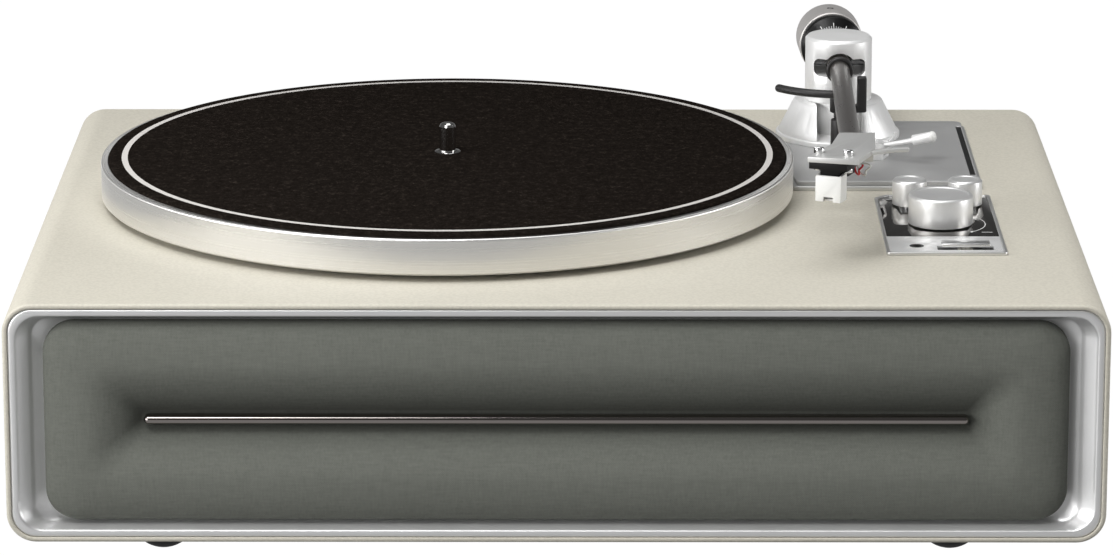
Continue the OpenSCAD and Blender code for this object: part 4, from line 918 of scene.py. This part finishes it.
# %% A cap on the cue lever, a set screw in the weight, coloured rings at the back
lever_dir = Vector((math.cos(math.radians(19.5)) * math.cos(math.radians(15)),
                    -math.sin(math.radians(19.5)) * math.cos(math.radians(15)), math.sin(math.radians(15))))
lever_points = [v.co for v in frame["nodes"]["cue_lever"].data.vertices]
reach = max(p.dot(lever_dir) for p in lever_points)
tip_points = [p for p in lever_points if p.dot(lever_dir) > reach - 0.2 * MM]
tip = sum(tip_points, Vector()) / len(tip_points)
cap_profile = [(0.01, -0.6), (2.32, -0.6), (2.45, 0.0), (2.2, 0.9), (1.5, 1.5), (0.01, 1.75)]
turned("lever_cap", cap_profile, tip, "cue_lever", "guard_white", steps=48, axis=lever_dir, sharp=60)
weight_low, weight_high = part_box("counterweight")
screw_at = middle("counterweight") + Vector((0, 0, (weight_high.z - weight_low.z) / 2))
screw_profile = [(0.01, -0.6), (1.5, -0.6), (1.5, 0.03), (0.9, 0.03), (0.8, -0.5), (0.01, -0.5)]
turned("weight_set_screw", screw_profile, screw_at, "counterweight", "black_trim", steps=36)
rear_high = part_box("rear_panel")[1]
jack_low, jack_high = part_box("rca_jacks")
ring_red = plain_finish("jack_ring_red", (0.55, 0.015, 0.015), 0.4, vary=0.03)
ring_white = plain_finish("jack_ring_white", (0.75, 0.75, 0.73), 0.4, vary=0.03)
for name, x, paint in (("jack_ring_left", jack_low.x + 6 * MM, ring_white),
                       ("jack_ring_right", jack_high.x - 6 * MM, ring_red)):
    turned(name, [(6.1, 0.01), (8.2, 0.01), (8.2, 1.2), (7.9, 1.5), (6.1, 1.5)],
           Vector((x, rear_high.y, (jack_low.z + jack_high.z) / 2)), "cabinet", "rear_plastic", paint,
           steps=72, axis=Vector((0, 1, 0)))

# %% [markdown]
# ## Light, floor and camera
# The floor is grey but the camera sees it white. Four soft panels give the light: a key high at
# the front left, one overhead, a broad one low at the left and a narrow one low at the right. The
# sky adds a little, most at the horizon.
# Rays that the camera sends to the floor and the sky find white there; a reflection finds the floor partly
# white.

# %% The floor
floor_size = 12.0
floor_mesh = mesh_of("floor", [(-floor_size, -floor_size, 0), (floor_size, -floor_size, 0),
                               (floor_size, floor_size, 0), (-floor_size, floor_size, 0)], [(0, 1, 2, 3)])
floor = bpy.data.objects.new("floor", floor_mesh)
bpy.context.scene.collection.objects.link(floor)


def white_to_see(tree, seen, mirrored):
    """seen for a ray from the camera, mirrored for one from a mirror or glass, else 0."""
    path = add(tree, "ShaderNodeLightPath")
    either = sums(tree, "MAXIMUM", path.outputs["Is Glossy Ray"], path.outputs["Is Transmission Ray"])
    return sums(tree, "MAXIMUM", sums(tree, "MULTIPLY", path.outputs["Is Camera Ray"], seen),
                sums(tree, "MULTIPLY", either, mirrored))


floor_mat, tree, shader = new_shader("pale_floor")
shader.inputs["Base Color"].default_value = (0.15, 0.15, 0.15, 1)
shader.inputs["Roughness"].default_value = 0.9
shader.inputs["Specular IOR Level"].default_value = 0.0
glow = add(tree, "ShaderNodeEmission", Strength=1.04)
blend = add(tree, "ShaderNodeMixShader")
tree.links.new(white_to_see(tree, 0.97, 0.30), blend.inputs[0])
tree.links.new(shader.outputs[0], blend.inputs[1])
tree.links.new(glow.outputs[0], blend.inputs[2])
tree.links.new(blend.outputs[0], tree.nodes["Material Output"].inputs["Surface"])
floor_mesh.materials.append(floor_mat)

# %% The sky
world = bpy.data.worlds.new("studio")
bpy.context.scene.world = world
world.use_nodes = True
tree = world.node_tree
coord = add(tree, "ShaderNodeTexCoord")
split = add(tree, "ShaderNodeSeparateXYZ")
tree.links.new(coord.outputs["Generated"], split.inputs[0])
sky = ramp(tree, split.outputs["Z"], [(0.0, 0.30), (0.08, 0.22), (0.25, 0.09), (1.0, 0.09)])
path = add(tree, "ShaderNodeLightPath")
pick = add(tree, "ShaderNodeMix", data_type="RGBA")
tree.links.new(path.outputs["Is Camera Ray"], pick.inputs[0])
tree.links.new(sky, pick.inputs[6])
pick.inputs[7].default_value = (1, 1, 1, 1)
tree.links.new(pick.outputs[2], tree.nodes["Background"].inputs["Color"])

# %% The lamps
def soft_panel(name, place, aim, width, height, watts):
    lamp = bpy.data.lights.new(name, "AREA")
    lamp.shape = "RECTANGLE"
    lamp.size, lamp.size_y, lamp.energy = width, height, watts
    holder = bpy.data.objects.new(name, lamp)
    bpy.context.scene.collection.objects.link(holder)
    holder.location = place
    holder.rotation_euler = (Vector(aim) - Vector(place)).to_track_quat("-Z", "Y").to_euler()


soft_panel("key", (-0.75, -1.10, 1.95), (0, -0.05, 0.1), 1.2, 0.9, 29)
soft_panel("overhead", (-0.05, 0.1, 2.0), (0, 0, 0.1), 1.8, 1.2, 16)
soft_panel("left_panel", (-1.75, -0.95, 0.5), (0, 0, 0.1), 2.2, 1.0, 34)
soft_panel("right_panel", (1.8, -0.15, 0.5), (0, 0, 0.1), 0.6, 1.0, 13)

# %% The camera
camera_data = bpy.data.cameras.new("camera")
camera_data.sensor_width = 36.0
camera_data.lens = 169.44
camera = bpy.data.objects.new("camera", camera_data)
bpy.context.scene.collection.objects.link(camera)
camera.location = (0.0066728, -2.2069355, 0.6555487)
camera.rotation_euler = (math.radians(75.2635), 0, math.radians(0.1805))
bpy.context.scene.camera = camera
bpy.context.scene.view_settings.view_transform = "Standard"
